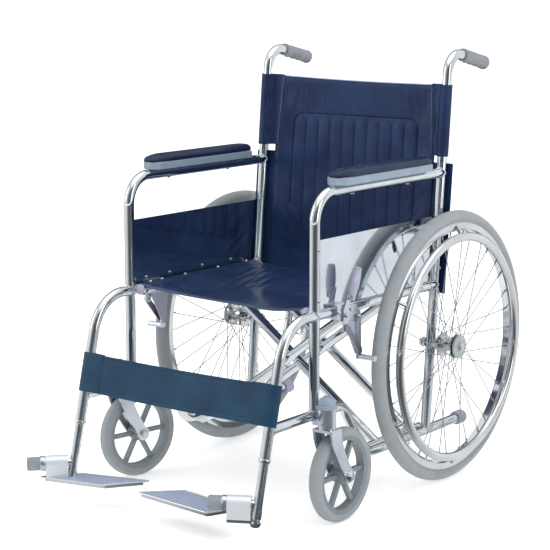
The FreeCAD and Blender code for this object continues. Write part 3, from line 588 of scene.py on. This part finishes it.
def seat():
    """The sling seat: wrapped over both seat rails, with a hemmed edge in front and behind."""
    front = SEAT_LOW.y + 2 * MM
    depth = SEAT_HIGH.y - SEAT_LOW.y - 4 * MM
    wrap = TUBE + 2.0 * MM
    flank = radians(75)
    inner = SEAT_RAIL_X
    arc_share = 0.045

    def point(u, v):
        y = front + depth * v
        side = -1 if u < 0.5 else 1
        edge = min(u, 1 - u)
        if edge < arc_share:
            turn = flank * (1 - edge / arc_share)
            return (side * (inner + wrap * sin(turn)), y, SEAT_RAIL_Z + wrap * cos(turn))
        x = (u - 0.5) / (0.5 - arc_share) * inner
        share = x / inner
        hollow = 9.0 + 5.0 * sin(pi * v) + 4.0 * (1 - v) * exp(-((share - 0.62) / 0.3) ** 2)
        sag = hollow * MM * (1 - share ** 4)
        return (x, y, SEAT_RAIL_Z + wrap - sag)

    piece = sheet_grid("seat_sling", point, 121, 97, SEAT_SKIN)
    drape(piece, lambda p: np.abs(p[:, 0]) > inner - 5 * MM, 0.006, 3 * MM)
    points = positions(piece)
    x, y = points[:, 0], points[:, 1]
    held = smoothstep(inner - 4 * MM - np.abs(x), 0, 40 * MM)
    creases = np.sin(240 * x + 45 * y + 1.6 * np.sin(23 * y) + 0.9 * np.sin(41 * x + 1))
    creases *= np.exp(-((x + 0.12) / 0.075) ** 2 - ((y - 0.02) / 0.11) ** 2)
    broad = np.sin(y * 34 + 3 * x) * np.sin(x * 11 + 0.7)
    puckers = np.zeros(len(points))
    for row in SCREW_ROWS:
        for side in (-1, 1):
            away = inner - side * x
            puckers += np.exp(-((y - row) / 0.012) ** 2 - (away / 0.045) ** 2)
    points[:, 2] += held * (1.6 * MM * creases + 2.2 * MM * broad)
    points[:, 2] -= 1.4 * MM * puckers * smoothstep(inner - np.abs(x), 0, 14 * MM)
    for edge in (front, front + depth):
        near = np.abs(y - edge)
        points[:, 2] -= held * 1.2 * MM * np.exp(-((near - 16 * MM) / (1.6 * MM)) ** 2)
        points[:, 2] += held * 1.1 * MM * smoothstep(14 * MM - near, 0, 9 * MM)
    move_to(piece, points)
    thicken(piece, 3.2 * MM, -1.0, 1)
    points = positions(piece)
    end = smoothstep(6 * MM - np.minimum(points[:, 1] - front, front + depth - points[:, 1]), 0, 6 * MM)
    points[:, 2] -= end * 2.5 * MM * smoothstep(inner - np.abs(points[:, 0]), 0, 20 * MM)
    move_to(piece, points)
    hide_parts("seat")
    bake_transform(piece)


def seat_screws():
    """Domed screws through cup washers along each seat rail, and the rails' moulded end caps."""
    cap = ((TUBE * 0.82, -12 * MM), (TUBE * 0.82, 0), (TUBE + 0.6 * MM, 0), (TUBE + 0.6 * MM, 2.4 * MM),
           (TUBE * 0.86, 5.4 * MM), (TUBE * 0.45, 7.2 * MM), (TUBE * 0.08, 7.6 * MM))
    for body, side in (("cross_a", -1), ("cross_b", 1)):
        screws = []
        for y in SCREW_ROWS:
            screws += dome_screw((side * SEAT_RAIL_X, y, SEAT_TOP + 1.0 * MM), ALONG_Z, 3.1 * MM)
        riding("seat_screws_" + body, screws, ZINC, body)
        caps = [lathe(cap, (side * SEAT_RAIL_X, AXLE.y - ahead, SEAT_RAIL_Z), ALONG_Y * facing, 40)
                for ahead, facing in ((0.447, -1), (0.030, 1))]
        riding("seat_rail_caps_" + body, caps, LILAC, body)


BACK_FOOT = 0.415
BACK_TOP = 0.888
BACK_TILT = -0.016
SLEEVE_FOOT = 0.7245
WING_TOP = 0.709
SEAM_X = FRAME_X - 0.0425
PANEL_X = FRAME_X - 0.0275
FLUTES = 10
FLUTE_SPAN = 0.344
FLUTE_TOP = 0.794
FLUTE_FOOT = 0.484


def sleeve_top(x):
    """The sewn top of a back sleeve: a little lower on the occupant's left."""
    return BACK_TOP + BACK_TILT * x


def panel_top(x):
    """The top edge of the back sheet, sagging between the sleeves."""
    return sleeve_top(x) - 4.5 * MM - 3 * MM * (1 - min(abs(x) / SEAM_X, 1) ** 2)


def on_back(x, z, depth):
    """A point at a depth behind the line of the rear posts."""
    return (x, post_y(z) + depth, z)


def back_depth(x):
    """How far the back sheet lies behind the posts' line."""
    share = np.abs(x) / SEAM_X
    hollow = 5 * MM * (1 - np.clip(share, 0, 1) ** 2)
    return 9 * MM + hollow + 4 * MM * smoothstep(np.abs(x), SEAM_X - 0.01, FRAME_X)


def flute_relief(x, z):
    """Height of the embossed flutes, and the pressed line that arches over them."""
    pitch = FLUTE_SPAN / FLUTES
    along = (x + FLUTE_SPAN / 2) / pitch
    inside = (along > 0) & (along < FLUTES)
    offset = (along - np.floor(along) - 0.5) * pitch
    half = pitch / 2
    beyond = np.maximum(np.maximum(z - (FLUTE_TOP - half), (FLUTE_FOOT + half) - z), 0)
    from_edge = half - np.hypot(offset, beyond)
    puff = np.where(inside, 1 - np.exp(-np.maximum(from_edge, 0) / 0.0036), 0)
    puff *= 0.86 + 0.14 * np.sin(z * 23 + np.floor(along) * 1.9)
    arch_top = FLUTE_TOP + 7 * MM
    corner = 0.026
    reach = FLUTE_SPAN / 2 + 1.5 * MM
    corner_x = np.maximum(np.abs(x) - (reach - corner), 0)
    corner_z = np.maximum(z - (arch_top - corner), 0)
    rounded = (corner_x > 0) & (corner_z > 0)
    far_off = 10
    from_top = np.abs(z - arch_top) + far_off * (np.abs(x) > reach)
    from_side = np.abs(np.abs(x) - reach) + far_off * ((z > arch_top) | (z < FLUTE_FOOT + 0.1))
    from_corner = np.abs(np.hypot(corner_x, corner_z) - corner)
    from_line = np.where(rounded, from_corner, np.minimum(from_top, from_side))
    pressed = np.exp(-(from_line / 0.0016) ** 2)
    return 3.6 * MM * puff - 1.8 * MM * pressed


def back_panel():
    """The back's main sheet, embossed with upright flutes."""
    def point(u, v):
        x = (2 * u - 1) * PANEL_X
        z = BACK_FOOT + (panel_top(x) - BACK_FOOT) * v
        return on_back(x, z, float(back_depth(x)))

    piece = sheet_grid("back_panel", point, 113, 119, NAVY)
    drape(piece, lambda p: (np.abs(p[:, 0]) > SEAM_X) | (p[:, 2] > BACK_TOP - 16 * MM), 0.004, 5 * MM)
    refined(piece)
    points = positions(piece)
    x, z = points[:, 0].copy(), points[:, 2].copy()
    free = smoothstep(SEAM_X - np.abs(x), 0, 30 * MM)
    ripple = 1.6 * MM * np.sin(x * 31 + 1.5 * np.sin(z * 9)) * smoothstep(0.62 - z, 0, 0.16)
    gathers = 1.2 * MM * np.sin(z * 55 + 9 * np.abs(x)) * np.exp(-((np.abs(x) - SEAM_X) / 0.035) ** 2)
    points[:, 1] -= flute_relief(x, z) + free * ripple + gathers
    edge = np.array([panel_top(value) for value in x])
    top_roll = smoothstep(z - edge, -10 * MM, 0)
    points[:, 1] += 3.5 * MM * top_roll ** 2
    move_to(piece, points)
    thicken(piece, 3.5 * MM, 1.0)
    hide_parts("backrest")
    squash_across(piece)


def squash_across(piece):
    """Ride the left frame, with a mesh of its own."""
    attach(piece, "left_frame")
    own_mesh(piece)


def back_binding():
    """The bound edges along the top and foot of the back sheet, and the stitches beside them. The top binding
    is pale, a painted highlight along the back's top edge.
    """
    def edge_line(height, out):
        return [on_back(x, height(x), float(back_depth(x)) + out) for x in np.linspace(-SEAM_X, SEAM_X, 60)]

    top_line = edge_line(lambda x: panel_top(x) + 0.4 * MM, 3.2 * MM)
    foot_line = edge_line(lambda x: BACK_FOOT + 3 * MM, 0)
    top = new_piece("back_binding", [pipe(top_line, 3.0 * MM)], HIGHLIGHT_EDGING)
    foot = new_piece("back_hem", [pipe(foot_line, 2.6 * MM)], PAD_SKIN)
    stitches = []
    count = 74
    for height in (lambda x: panel_top(x) - 13 * MM, lambda x: BACK_FOOT + 14 * MM):
        for i in range(count):
            x = -SEAM_X + 2 * SEAM_X * (i + 0.5) / count
            z = height(x)
            depth = float(back_depth(x)) - 0.7 * MM
            stitches.append(stitch(on_back(x - 1.9 * MM, z, depth), on_back(x, z, depth - 0.7 * MM),
                                   on_back(x + 1.9 * MM, z, depth)))
    for piece in (top, foot, new_piece("back_stitches", stitches, SEAM)):
        squash_across(piece)


def sleeve_outline(sign):
    """Tight round the post, then falling away sharply to a flat seam on the inner side."""
    radius = TUBE + 1.9 * MM
    outline = [(FRAME_X + radius * cos(turn), radius * sin(turn))
               for turn in (radians(-168 + 274 * i / 30) for i in range(31))]
    back = outline[-1]
    for i in range(1, 9):
        share = i / 8
        outline.append((back[0] + (SEAM_X - back[0]) * share,
                        back[1] + (9.5 * MM - back[1]) * share + 1.2 * MM * sin(pi * share)))
    flank = ((SEAM_X, 8.0 * MM), (SEAM_X + 9 * MM, 8.0 * MM), (SEAM_X + 18.5 * MM, 6.5 * MM),
             (SEAM_X + 24 * MM, 3.6 * MM), (SEAM_X + 27.4 * MM, 0.4 * MM))
    for start, end in zip(flank, flank[1:]):
        outline += [(start[0] + (end[0] - start[0]) * i / 3, start[1] + (end[1] - start[1]) * i / 3)
                    for i in range(3)]
    outline.append(flank[-1])
    return [(sign * x, depth) for x, depth in outline]


def sleeve_taper(z):
    """How much nearer to the post a sleeve's seam is, lower down."""
    return 9 * MM * (BACK_TOP - z) / (BACK_TOP - SLEEVE_FOOT) - 1 * MM


def back_sleeve(side, sign):
    """The sleeve sewn round a rear post, with soft creases and hemmed ends. Its seam bead is paler than the
    cloth: a painted highlight on a real seam.
    """
    outline = sleeve_outline(sign)
    rows = []
    for i in range(61):
        share = i / 60
        hem = max(exp(-((share - end) / 0.0096) ** 2) for end in (0.06, 0.94))
        row = []
        for x, depth in outline:
            z = SLEEVE_FOOT + (sleeve_top(x) - SLEEVE_FOOT) * share
            inboard = min(max((FRAME_X - abs(x)) / (FRAME_X - SEAM_X), 0), 1)
            x += sign * sleeve_taper(z) * inboard ** 3
            crease = 0.8 * MM * sin(share * 24 + 5 * inboard) * sin(pi * inboard)
            slack = 0.9 * MM * sin(share * 7 + 2 * sign) * inboard
            away = Vector((x - sign * FRAME_X, depth)).normalized() * (crease - 0.5 * MM * hem)
            row.append(on_back(x + away.x, z, depth + away.y + slack))
        rows.append(row)
    piece = new_piece("back_sleeve_" + side, [loft(rows, caps=False)], NAVY, 180)
    thicken(piece, 1.5 * MM, -1.0, 1)
    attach(piece, side + "_frame")
    # A pale bead along the seam: a real seam, coloured as a painted highlight along its edge.
    seam = [on_back(sign * (SEAM_X + 0.6 * MM + sleeve_taper(z)), z, 6.6 * MM)
            for z in np.linspace(SLEEVE_FOOT + 2 * MM, sleeve_top(sign * SEAM_X) - 2 * MM, 40)]
    riding("sleeve_seam_" + side, [pipe(seam, 1.6 * MM, 10)], HIGHLIGHT_PIPING, side + "_frame")


def back_wing(side, sign):
    """The lower back sheet, wrapped behind a rear post and screwed to it."""
    radius = TUBE + 1.6 * MM
    inner = SEAM_X - 4 * MM
    flap = 24 * MM

    def point(u, v):
        z = BACK_FOOT + 2 * MM + (WING_TOP - BACK_FOOT - 2 * MM) * v
        if u < 0.6:
            x = inner + (FRAME_X - inner) * u / 0.6
            start = float(back_depth(inner)) + 1 * MM
            depth = start + (radius - start) * float(smoothstep(x, inner, FRAME_X))
        else:
            beyond = (u - 0.6) / 0.4
            x = FRAME_X + flap * beyond
            depth = radius - 5 * MM * beyond ** 2
        ripple = 0.9 * MM * sin(z * 48 + sign) * sin(pi * min(u / 0.6, 1))
        return on_back(sign * x, z, depth + ripple)

    piece = sheet_grid("back_wing_" + side, point, 41, 81, NAVY)
    thicken(piece, 1.8 * MM, 0.0, 1)
    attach(piece, side + "_frame")
    screws = []
    for z in (0.445, 0.53, 0.615, 0.69):
        screws += dome_screw(on_back(sign * FRAME_X, z, radius + 1.2 * MM), (0, 1, -POST_SLOPE), 3.2 * MM)
    riding("back_screws_" + side, screws, ZINC, side + "_frame")


STRAP_FOOT_Z = 0.239
STRAP_TOP_Z = 0.319
STRAP_X = FRAME_X - 0.016
LEG_UP = Vector((0, LEG_SLOPE, 1)).normalized()
LEG_FORWARD = Vector((0, -1, LEG_SLOPE)).normalized()


def on_leg(x, z, ahead):
    """A point ahead of the line of the slanting legs."""
    return Vector((x, leg_y(z), z)) + LEG_FORWARD * ahead


def calf_strap():
    """The band across the legs, with a loop round each."""
    ahead = TUBE + 2.2 * MM

    def point(u, v):
        x = (2 * u - 1) * STRAP_X
        bow = 6 * MM * (1 - (2 * u - 1) ** 2)
        droop = 3 * MM * (1 - (2 * u - 1) ** 2)
        wave = 1.0 * MM * sin(26 * x) * sin(pi * v)
        z = STRAP_FOOT_Z + (STRAP_TOP_Z - STRAP_FOOT_Z) * v - droop
        lip = 0.5 * MM * (exp(-((v - 0.10) / 0.025) ** 2) + exp(-((v - 0.90) / 0.025) ** 2))
        return on_leg(x, z, ahead - bow + wave - lip)

    piece = sheet_grid("calf_band", point, 121, 61, TEAL)
    thicken(piece, 2.6 * MM, 0.0, 1)
    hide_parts("calf_strap")
    squash_across(piece)
    for side, sign in SIDES:
        strap_loop(side, sign, ahead)


def strap_loop(side, sign, ahead):
    """The end of the strap, folded round a leg and sewn back on itself."""
    radius = TUBE + 1.8 * MM
    reach = 0.052

    def outline(z):
        line = []
        for i in range(7):
            line.append((FRAME_X - reach + (reach - 0.004) * i / 6,
                         ahead + 1.6 * MM * sin(pi * i / 12)))
        for i in range(25):
            turn = radians(80 - 235 * i / 24)
            line.append((FRAME_X + radius * cos(turn), radius * sin(turn)))
        for i in range(1, 8):
            share = i / 7
            start_x, start_ahead = line[31]
            line.append((start_x + (FRAME_X - reach - start_x) * share,
                         start_ahead + (ahead - 3.4 * MM - start_ahead) * share))
        return [on_leg(sign * x, z, forward) for x, forward in line]

    heights = np.linspace(STRAP_FOOT_Z - 1 * MM, STRAP_TOP_Z + 1 * MM, 33)
    piece = new_piece("strap_loop_" + side, [loft([outline(z) for z in heights], ring=False)], TEAL, 180)
    thicken(piece, 1.6 * MM, 0.0, 1)
    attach(piece, side + "_frame")
    stitches = []
    for x in (FRAME_X - reach + 5 * MM, FRAME_X - reach + 11 * MM):
        for i in range(18):
            z = STRAP_FOOT_Z + (STRAP_TOP_Z - STRAP_FOOT_Z) * (i + 0.5) / 18
            stitches.append(stitch(on_leg(sign * x, z - 1.5 * MM, ahead + 1.0 * MM),
                                   on_leg(sign * x, z, ahead + 1.8 * MM),
                                   on_leg(sign * x, z + 1.5 * MM, ahead + 1.0 * MM)))
    riding("strap_stitches_" + side, stitches, SEAM, side + "_frame")


def arm_pad(side, sign):
    """A moulded pad: a soft crowned top over a creased flank, rounded at the nose."""
    low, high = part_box("arm_pad_" + side)
    centre = (low + high) / 2
    half_x = (high.x - low.x) / 2
    half_y = (high.y - low.y) / 2
    tall = high.z - low.z
    rows = []
    levels = ((0.965, 0.0), (1.0, 0.10), (1.0, 0.40), (0.975, 0.52), (0.93, 0.58), (0.90, 0.66), (0.84, 0.80),
              (0.74, 0.90), (0.58, 0.965), (0.36, 0.99), (0.12, 1.0))
    for share, lift in levels:
        inset = (1 - share) * half_x
        row = []
        for turn in turns(96):
            c, s = cos(turn), sin(turn)
            x = copysign(abs(c) ** 0.42, c) * (half_x - inset)
            y = copysign(abs(s) ** 0.16, s) * (half_y - inset)
            nose = float(smoothstep(-y, half_y - 0.05, half_y))
            dip = 0.22 * nose * lift
            taper = 1 - 0.22 * nose
            row.append((centre.x + x * taper, centre.y + y, low.z + tall * (lift - dip)))
        rows.append(row)
    piece = new_piece("arm_cushion_" + side, [loft(rows)], PAD_SKIN, 180)
    refined(piece)
    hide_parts("arm_pad_" + side)
    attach(piece, side + "_frame")


# ---- hard details

HANDLE_CORNER = Vector((0, post_y(0.959), 0.959))
HANDLE_END = Vector((0, AXLE.y + 0.214, 0.926))
HANDLE_ALONG = (HANDLE_END - HANDLE_CORNER).normalized()


def push_grip(side, sign):
    """A ribbed sleeve with finger hollows under it, a collar and a domed end."""
    length = 0.104
    shell = 16 * MM
    finger = 22 * MM
    base = Vector((sign * FRAME_X, HANDLE_END.y, HANDLE_END.z)) - HANDLE_ALONG * (length - 4 * MM)
    down = HANDLE_ALONG.cross(ALONG_X)
    down = down if down.z < 0 else -down
    rows = []
    stations = 150
    for i in range(stations + 1):
        far = length * i / stations
        ribbed = 12 * MM < far < length - 14 * MM
        rib = 0.4 * MM * max(0, sin(far * 2 * pi / (5.2 * MM))) if ribbed else 0
        size = shell - 0.9 * MM + rib
        size += 0.9 * MM * exp(-((far - 4 * MM) / (3.4 * MM)) ** 2)
        size += 0.9 * MM * float(smoothstep(far, length - 16 * MM, length - 11 * MM))
        past_dome = max(0, (far - length + 7 * MM) / (7 * MM))
        size -= (shell - 2 * MM) * (1 - sqrt(max(0, 1 - past_dome ** 2)))
        row = []
        for turn in turns(40):
            under = max(0.0, cos(turn)) ** 2
            hollow = 3.7 * MM * under * (0.5 + 0.5 * cos((far - 6 * MM) * 2 * pi / finger))
            radius = max(size - (hollow if far < length - 9 * MM else 0), 0.4 * MM)
            out = down * cos(turn) + ALONG_X * sin(turn)
            row.append(base + HANDLE_ALONG * far + out * radius)
        rows.append(row)
    piece = riding("push_grip_" + side, [loft(rows)], GRIP, side + "_frame", 60)
    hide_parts("grip_" + side)


def frame_welds(side, sign):
    """Weld beads where the side frame's tubes meet."""
    post = (0, POST_SLOPE, 1)
    leg = (0, LEG_SLOPE, 1)
    joints = (
        (FRONT_POST_Y, FRONT_RAIL_Z, ALONG_Z, ALONG_Y), (FRONT_POST_Y, RAIL_Z, ALONG_Z, ALONG_Y),
        (FRONT_POST_Y, RAIL_Z, -ALONG_Z, ALONG_Y), (leg_y(FRONT_RAIL_Z), FRONT_RAIL_Z, ALONG_Y, leg),
        (post_y(RAIL_Z), RAIL_Z, -ALONG_Y, post), (post_y(ARM_Z), ARM_Z, -ALONG_Y, post),
        (post_y(LOW_RAIL_Z), LOW_RAIL_Z, post, ALONG_Y))
    beads = [weld_bead((sign * FRAME_X, y, z), branch, main) for y, z, branch, main in joints]
    riding("welds_" + side, beads, CAST, side + "_frame")


def frame_bolts(side, sign):
    """Bolts and screws on a side frame: armrest, side panel, barrel, axle."""
    x = sign * FRAME_X
    parts = []
    base_low, base_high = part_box("arm_base_" + side)
    for share in (0.2, 0.8):
        y = base_low.y + (base_high.y - base_low.y) * share
        parts += hex_bolt((x, y, ARM_Z - TUBE + 0.4 * MM), -ALONG_Z, 7 * MM, 2.4 * MM)
    for y, z in ((FRONT_POST_Y, 0.47), (FRONT_POST_Y, 0.575), (post_y(0.575), 0.575), (post_y(0.475), 0.475)):
        parts += dome_screw((x + sign * (TUBE - 0.5 * MM), y, z), ALONG_X * sign, 3.4 * MM)
    for z in (0.221, 0.245):
        parts += dome_screw((sign * STEM_X, STEM_Y - 18.6 * MM, z), -ALONG_Y, 2.6 * MM)
    outer = reach_of("rear_axle_" + side, sign)
    inner = reach_of("rear_axle_" + side, -sign)
    parts += hex_bolt((outer - sign * 1.5 * MM, AXLE.y, AXLE.z), ALONG_X * sign, 14 * MM, 3 * MM)
    parts += hex_bolt((inner + sign * 1 * MM, AXLE.y, AXLE.z), -ALONG_X * sign, 17 * MM, 7 * MM)
    riding("frame_bolts_" + side, parts, ZINC, side + "_frame")


COLLAR_Z = 0.172


def leg_collar(side, sign):
    """The turned ring at the foot of an outer leg tube, and the inner tube's domed foot."""
    centre = Vector((sign * FRAME_X, leg_y(COLLAR_Z), COLLAR_Z))
    outline = ((TUBE - 1.5 * MM, -3 * MM), (TUBE + 0.6 * MM, -3 * MM), (TUBE + 1.2 * MM, -2 * MM),
               (TUBE + 1.2 * MM, 3 * MM), (TUBE + 0.6 * MM, 4 * MM), (TUBE - 1.5 * MM, 4 * MM))
    riding("leg_collar_" + side, [lathe(outline, centre, LEG_UP)], CHROME, side + "_frame")
    tip = Vector((sign * FRAME_X, leg_y(LEG_FOOT_Z), LEG_FOOT_Z))
    outline = mm((10.0, 4), (10.2, 0), (10.2, -13), (8.4, -14.5), (8.0, -16.5), (10.6, -18.5), (11.2, -22),
                 (10.4, -26), (7, -29.5), (0.6, -31))
    riding("leg_foot_" + side, [lathe(outline, tip, LEG_UP, 40)], CHROME, "footrest_" + side)


HINGE_Z = 0.088
HINGE_TURNS = {"left": radians(-62), "right": radians(-44)}
PLATE_TOP = 0.060
PLATE_CORNERS = {"left": ((-59, -659), (150, -681), (180, -611), (15, -586)),
                 "right": ((-304, -704), (-144, -664), (-83, -577), (-246, -626))}


def rounded_outline(corners, inset, fillet):
    """The corners' outline in millimetres, drawn in by an inset and rounded."""
    corners = [Vector(corner) for corner in corners]
    centre = sum(corners, Vector((0, 0))) / len(corners)
    lines = []
    for start, end in zip(corners, corners[1:] + corners[:1]):
        run = (end - start).normalized()
        inward = Vector((-run.y, run.x))
        if inward.dot(centre - start) < 0:
            inward = -inward
        lines.append((start + inward * inset, run))
    met = []
    for (first, along), (second, onward) in zip(lines[-1:] + lines[:-1], lines):
        share = (second - first).cross(onward) / along.cross(onward)
        met.append((first + along * share, along, onward))
    points = []
    for corner, along, onward in met:
        for i in range(7):
            share = i / 6
            before = corner - along * fillet * (1 - share)
            after = corner + onward * fillet * share
            points.append(before + (after - before) * share)
    return points


def footplate_details(side, sign):
    """The hinge's rubber tip and collar, and the plate's rolled edge with a thin dark line inside it, painted
    shade where a groove would be.
    """
    root = Vector((sign * FRAME_X, leg_y(HINGE_Z), HINGE_Z))
    turn = HINGE_TURNS[side]
    along = Vector((sin(turn), -cos(turn), 0))
    tip = mm((11, 73), (14.2, 73), (14.8, 75), (14.8, 98.2), (13.8, 100), (8, 101.2), (0.6, 101.4))
    riding("hinge_tip_" + side, [lathe(tip, root, along)], TIP_RUBBER, "footrest_" + side)
    ring = mm((9, 61.4), (15.6, 61.4), (16.2, 62.2), (16.2, 71.6), (15.6, 72.6), (14.2, 73.2), (13, 73.2))
    riding("hinge_ring_" + side, [lathe(ring, root, along)], CAST, "footrest_" + side)
    # The dark steel line inside the rolled edge is painted shade standing in for a groove.
    for name, inset, radius, material in (("plate_edge_", 1.6, 1.5 * MM, CHROME),
                                          ("plate_groove_painted_shade_", 4.4, 0.7 * MM, DARK_STEEL)):
        path = [(point.x * MM, AXLE.y + point.y * MM, PLATE_TOP)
                for point in rounded_outline(PLATE_CORNERS[side], inset, 9)]
        line = pipe(path, radius, 10, closed=True)
        riding(name + side, [line], material, "footplate_" + side)


SPOKES = 36


def wheel_centre(sign):
    return Vector((sign * WHEEL_X, AXLE.y, AXLE.z))


def wheel_details(side, sign):
    """Spoke nipples, the valve and the hub's dust cap."""
    centre = wheel_centre(sign)
    body = "wheel_" + side
    rim_foot = RIM_RADIUS - 20 * MM
    nipple = mm((1.3, 0), (1.9, 1), (1.9, 9), (2.6, 10), (2.6, 12))
    nipples = []
    for i, turn in enumerate(turns(SPOKES)):
        out = Vector((0, cos(turn), sin(turn)))
        lean = -3 if i % 2 else 3
        base = centre + out * (rim_foot - 11 * MM) + ALONG_X * sign * lean * MM
        nipples.append(lathe(nipple, base, out, 10))
    riding("nipples_" + side, nipples, SPOKE, body)
    valve_turn = 1.92
    out = Vector((0, cos(valve_turn), sin(valve_turn)))
    outline = mm((3, 0), (3, 16), (3.9, 17), (3.9, 30), (2.6, 33), (0.5, 33.4))
    valve = [lathe(outline, centre + out * rim_foot, -out, 20)]
    riding("valve_" + side, valve, DARK_RUBBER, body)
    outline = mm((23, -6), (25.6, -5.4), (26.4, -4.4), (26.4, -0.6), (25.4, 0.6), (22.5, 1.0), (21.8, 0.5),
                 (9, 0.8))
    face = (reach_of("hub_" + side, sign), AXLE.y, AXLE.z)
    riding("hub_cap_" + side, [lathe(outline, face, ALONG_X * sign, 60)], HUB_GREY, body)


def rear_tyre(side, sign):
    """A round-shouldered tyre with circumferential tread ribs and a bead line on each flank."""
    centre = wheel_centre(sign)
    half = 16 * MM
    middle = TYRE_RADIUS - half
    section = []
    for turn in turns(64):
        radius = half - 0.05 * MM
        up = cos(turn)
        if up > 0.55:
            radius -= 0.7 * MM * (0.5 - 0.5 * cos(turn * 30)) * float(smoothstep(up, 0.55, 0.7))
        radius -= 0.5 * MM * exp(-((abs(sin(turn)) - 0.93) / 0.03) ** 2) * (up < 0)
        section.append((radius * sin(turn), middle + radius * cos(turn)))
    rows = []
    for turn in turns(216):
        out = Vector((0, cos(turn), sin(turn)))
        rows.append([centre + ALONG_X * sign * x + out * far for x, far in section])
    piece = riding("tyre_" + side, [loft(rows, closed=True)], TYRE, "wheel_" + side, 50)
    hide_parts("rear_tyre_" + side)


BARREL_TOP = 0.209 + 0.047
CASTER_TURNS = {"left": 0, "right": radians(-11)}


def caster_details(side, sign):
    """The grey dome cap on the caster barrel, and the wheel's lock nuts."""
    cap = mm((19.6, -5.4), (20.8, -4.8), (20.8, 1.2), (20.0, 2.2), (18.7, 2.6), (18.5, 7.4), (15.0, 15.4),
             (7.8, 20.6), (0.8, 22.4))
    top = (sign * STEM_X, STEM_Y, BARREL_TOP)
    riding("barrel_cap_" + side, [lathe(cap, top, ALONG_Z)], CAP_GREY, side + "_frame")
    axle = middle_of("caster_axle_" + side)
    turn = CASTER_TURNS[side]
    along = Vector((cos(turn), sin(turn), 0))
    nuts = []
    for facing in (1, -1):
        nuts += hex_bolt(axle + along * facing * 24.2 * MM, along * facing, 15.4 * MM, 6.4 * MM)
    riding("caster_nuts_" + side, nuts, ZINC, "fork_" + side)


def tail_tip(side, sign):
    """The moulded cap on the end of a lower rail's tail."""
    low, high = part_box("rear_tip_" + side)
    middle = (low + high) / 2
    outline = mm((12.4, 0), (14.6, 0), (15.4, 1.4), (15.8, 6), (15.8, 24), (14.8, 29.5), (12, 32.6),
                 (7, 33.8), (0.8, 34))
    tip = [lathe(outline, (middle.x, high.y - 32 * MM, middle.z), ALONG_Y)]
    piece = riding("tail_tip_" + side, tip, LILAC, side + "_frame")
    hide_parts("rear_tip_" + side)


# The plate's corners: Y from the rear axle, Z, and which way its bevel draws each one in.
BRAKE_PLATE = ((-0.374, 0.424, 1, -1), (-0.314, 0.424, -1, -1), (-0.311, 0.404, -1, 0),
               (-0.318, 0.340, -0.4, 1), (-0.327, 0.340, 0.4, 1), (-0.358, 0.396, 1, 0.4))


def brake_details(side, sign):
    """The lever's moulded sleeve, the plate behind the linkage, and nuts on the brake's pivots."""
    foot = Vector((sign * 0.277, AXLE.y - 0.362, 0.462))
    head = Vector((sign * 0.284, AXLE.y - 0.348, 0.526))
    along = (head - foot).normalized()
    length = (head - foot).length
    outline = [(5.6 * MM, -1.6 * MM), (6.8 * MM, 0)]
    for i in range(1, 40):
        share = i / 40
        outline.append(((7.0 + 1.4 * share + 3.0 * sin(pi * share)) * MM, length * share))
    outline += [(8.0 * MM, length + 1 * MM), (6.4 * MM, length + 3 * MM), (0.5 * MM, length + 3.9 * MM)]
    sleeve = [lathe(outline, foot, along, 36)]
    riding("brake_grip_" + side, sleeve, LILAC, "brake_lever_" + side)
    rows = []
    for x, inset in ((0.2632, 0.6 * MM), (0.2638, 0), (0.2666, 0), (0.2672, 0.6 * MM)):
        rows.append([(sign * x, AXLE.y + y + pull_y * inset, z + pull_z * inset)
                     for y, z, pull_y, pull_z in BRAKE_PLATE])
    riding("brake_plate_" + side, [loft(rows)], LILAC, side + "_frame")
    nuts = []
    for y, z in ((-0.372, 0.430), (-0.324, 0.420)):
        nuts += hex_bolt((sign * 0.2735, AXLE.y + y, z), ALONG_X * sign, 8 * MM, 3 * MM)
    for y, z in ((-0.392, 0.438), (-0.350, 0.440)):
        nuts += hex_bolt((sign * 0.268, AXLE.y + y, z), ALONG_X * sign, 7 * MM, 3 * MM)
    riding("brake_nuts_" + side, nuts, ZINC, side + "_frame")


def add_mirror_floor():
    """What polished tubes mirror of the floor: as pale or dark as the wall beyond it."""
    rows = [[(cos(turn) * radius, sin(turn) * radius, 0.003) for turn in turns(64)]
            for radius in (0.3, 1, 4, 12)]
    card = bpy.data.materials.new("mirrored_floor")
    card.use_nodes = True
    tree = card.node_tree
    tree.nodes.clear()
    place = add_node(tree, "TexCoord", {})
    glow = add_node(tree, "Emission", {"Color": room_level(tree, place.outputs["Object"])})
    add_node(tree, "OutputMaterial", {"Surface": glow.outputs[0]})
    piece = new_piece("mirrored_floor", [loft(rows, caps=False)], card)
    piece.visible_camera = piece.visible_diffuse = piece.visible_shadow = False
    piece.visible_transmission = piece.visible_volume_scatter = False


def add_floor():
    size = 40
    rows = [[(x, y, 0) for x in np.linspace(-size, size, 9)] for y in np.linspace(-size, size, 9)]
    floor = new_piece("floor", [loft(rows, ring=False)], floor_finish())


def floor_finish():
    finish = Finish("floor", (0.88, 0.88, 0.88), 0.7, specular_ior_level=0.1,
                    emission_color=(1, 1, 1, 1), emission_strength=0.38)
    finish.colour(finish.blend(finish.noise(3, 3), (0.87, 0.87, 0.87), (0.89, 0.89, 0.89)))
    return finish.material


seat()
seat_screws()
back_panel()
back_binding()
calf_strap()
for side_name, side_sign in SIDES:
    for make in (back_sleeve, back_wing, arm_pad, push_grip, frame_welds, frame_bolts, leg_collar,
                 footplate_details, tail_tip, wheel_details, rear_tyre, caster_details, brake_details):
        make(side_name, side_sign)
add_floor()
add_mirror_floor()
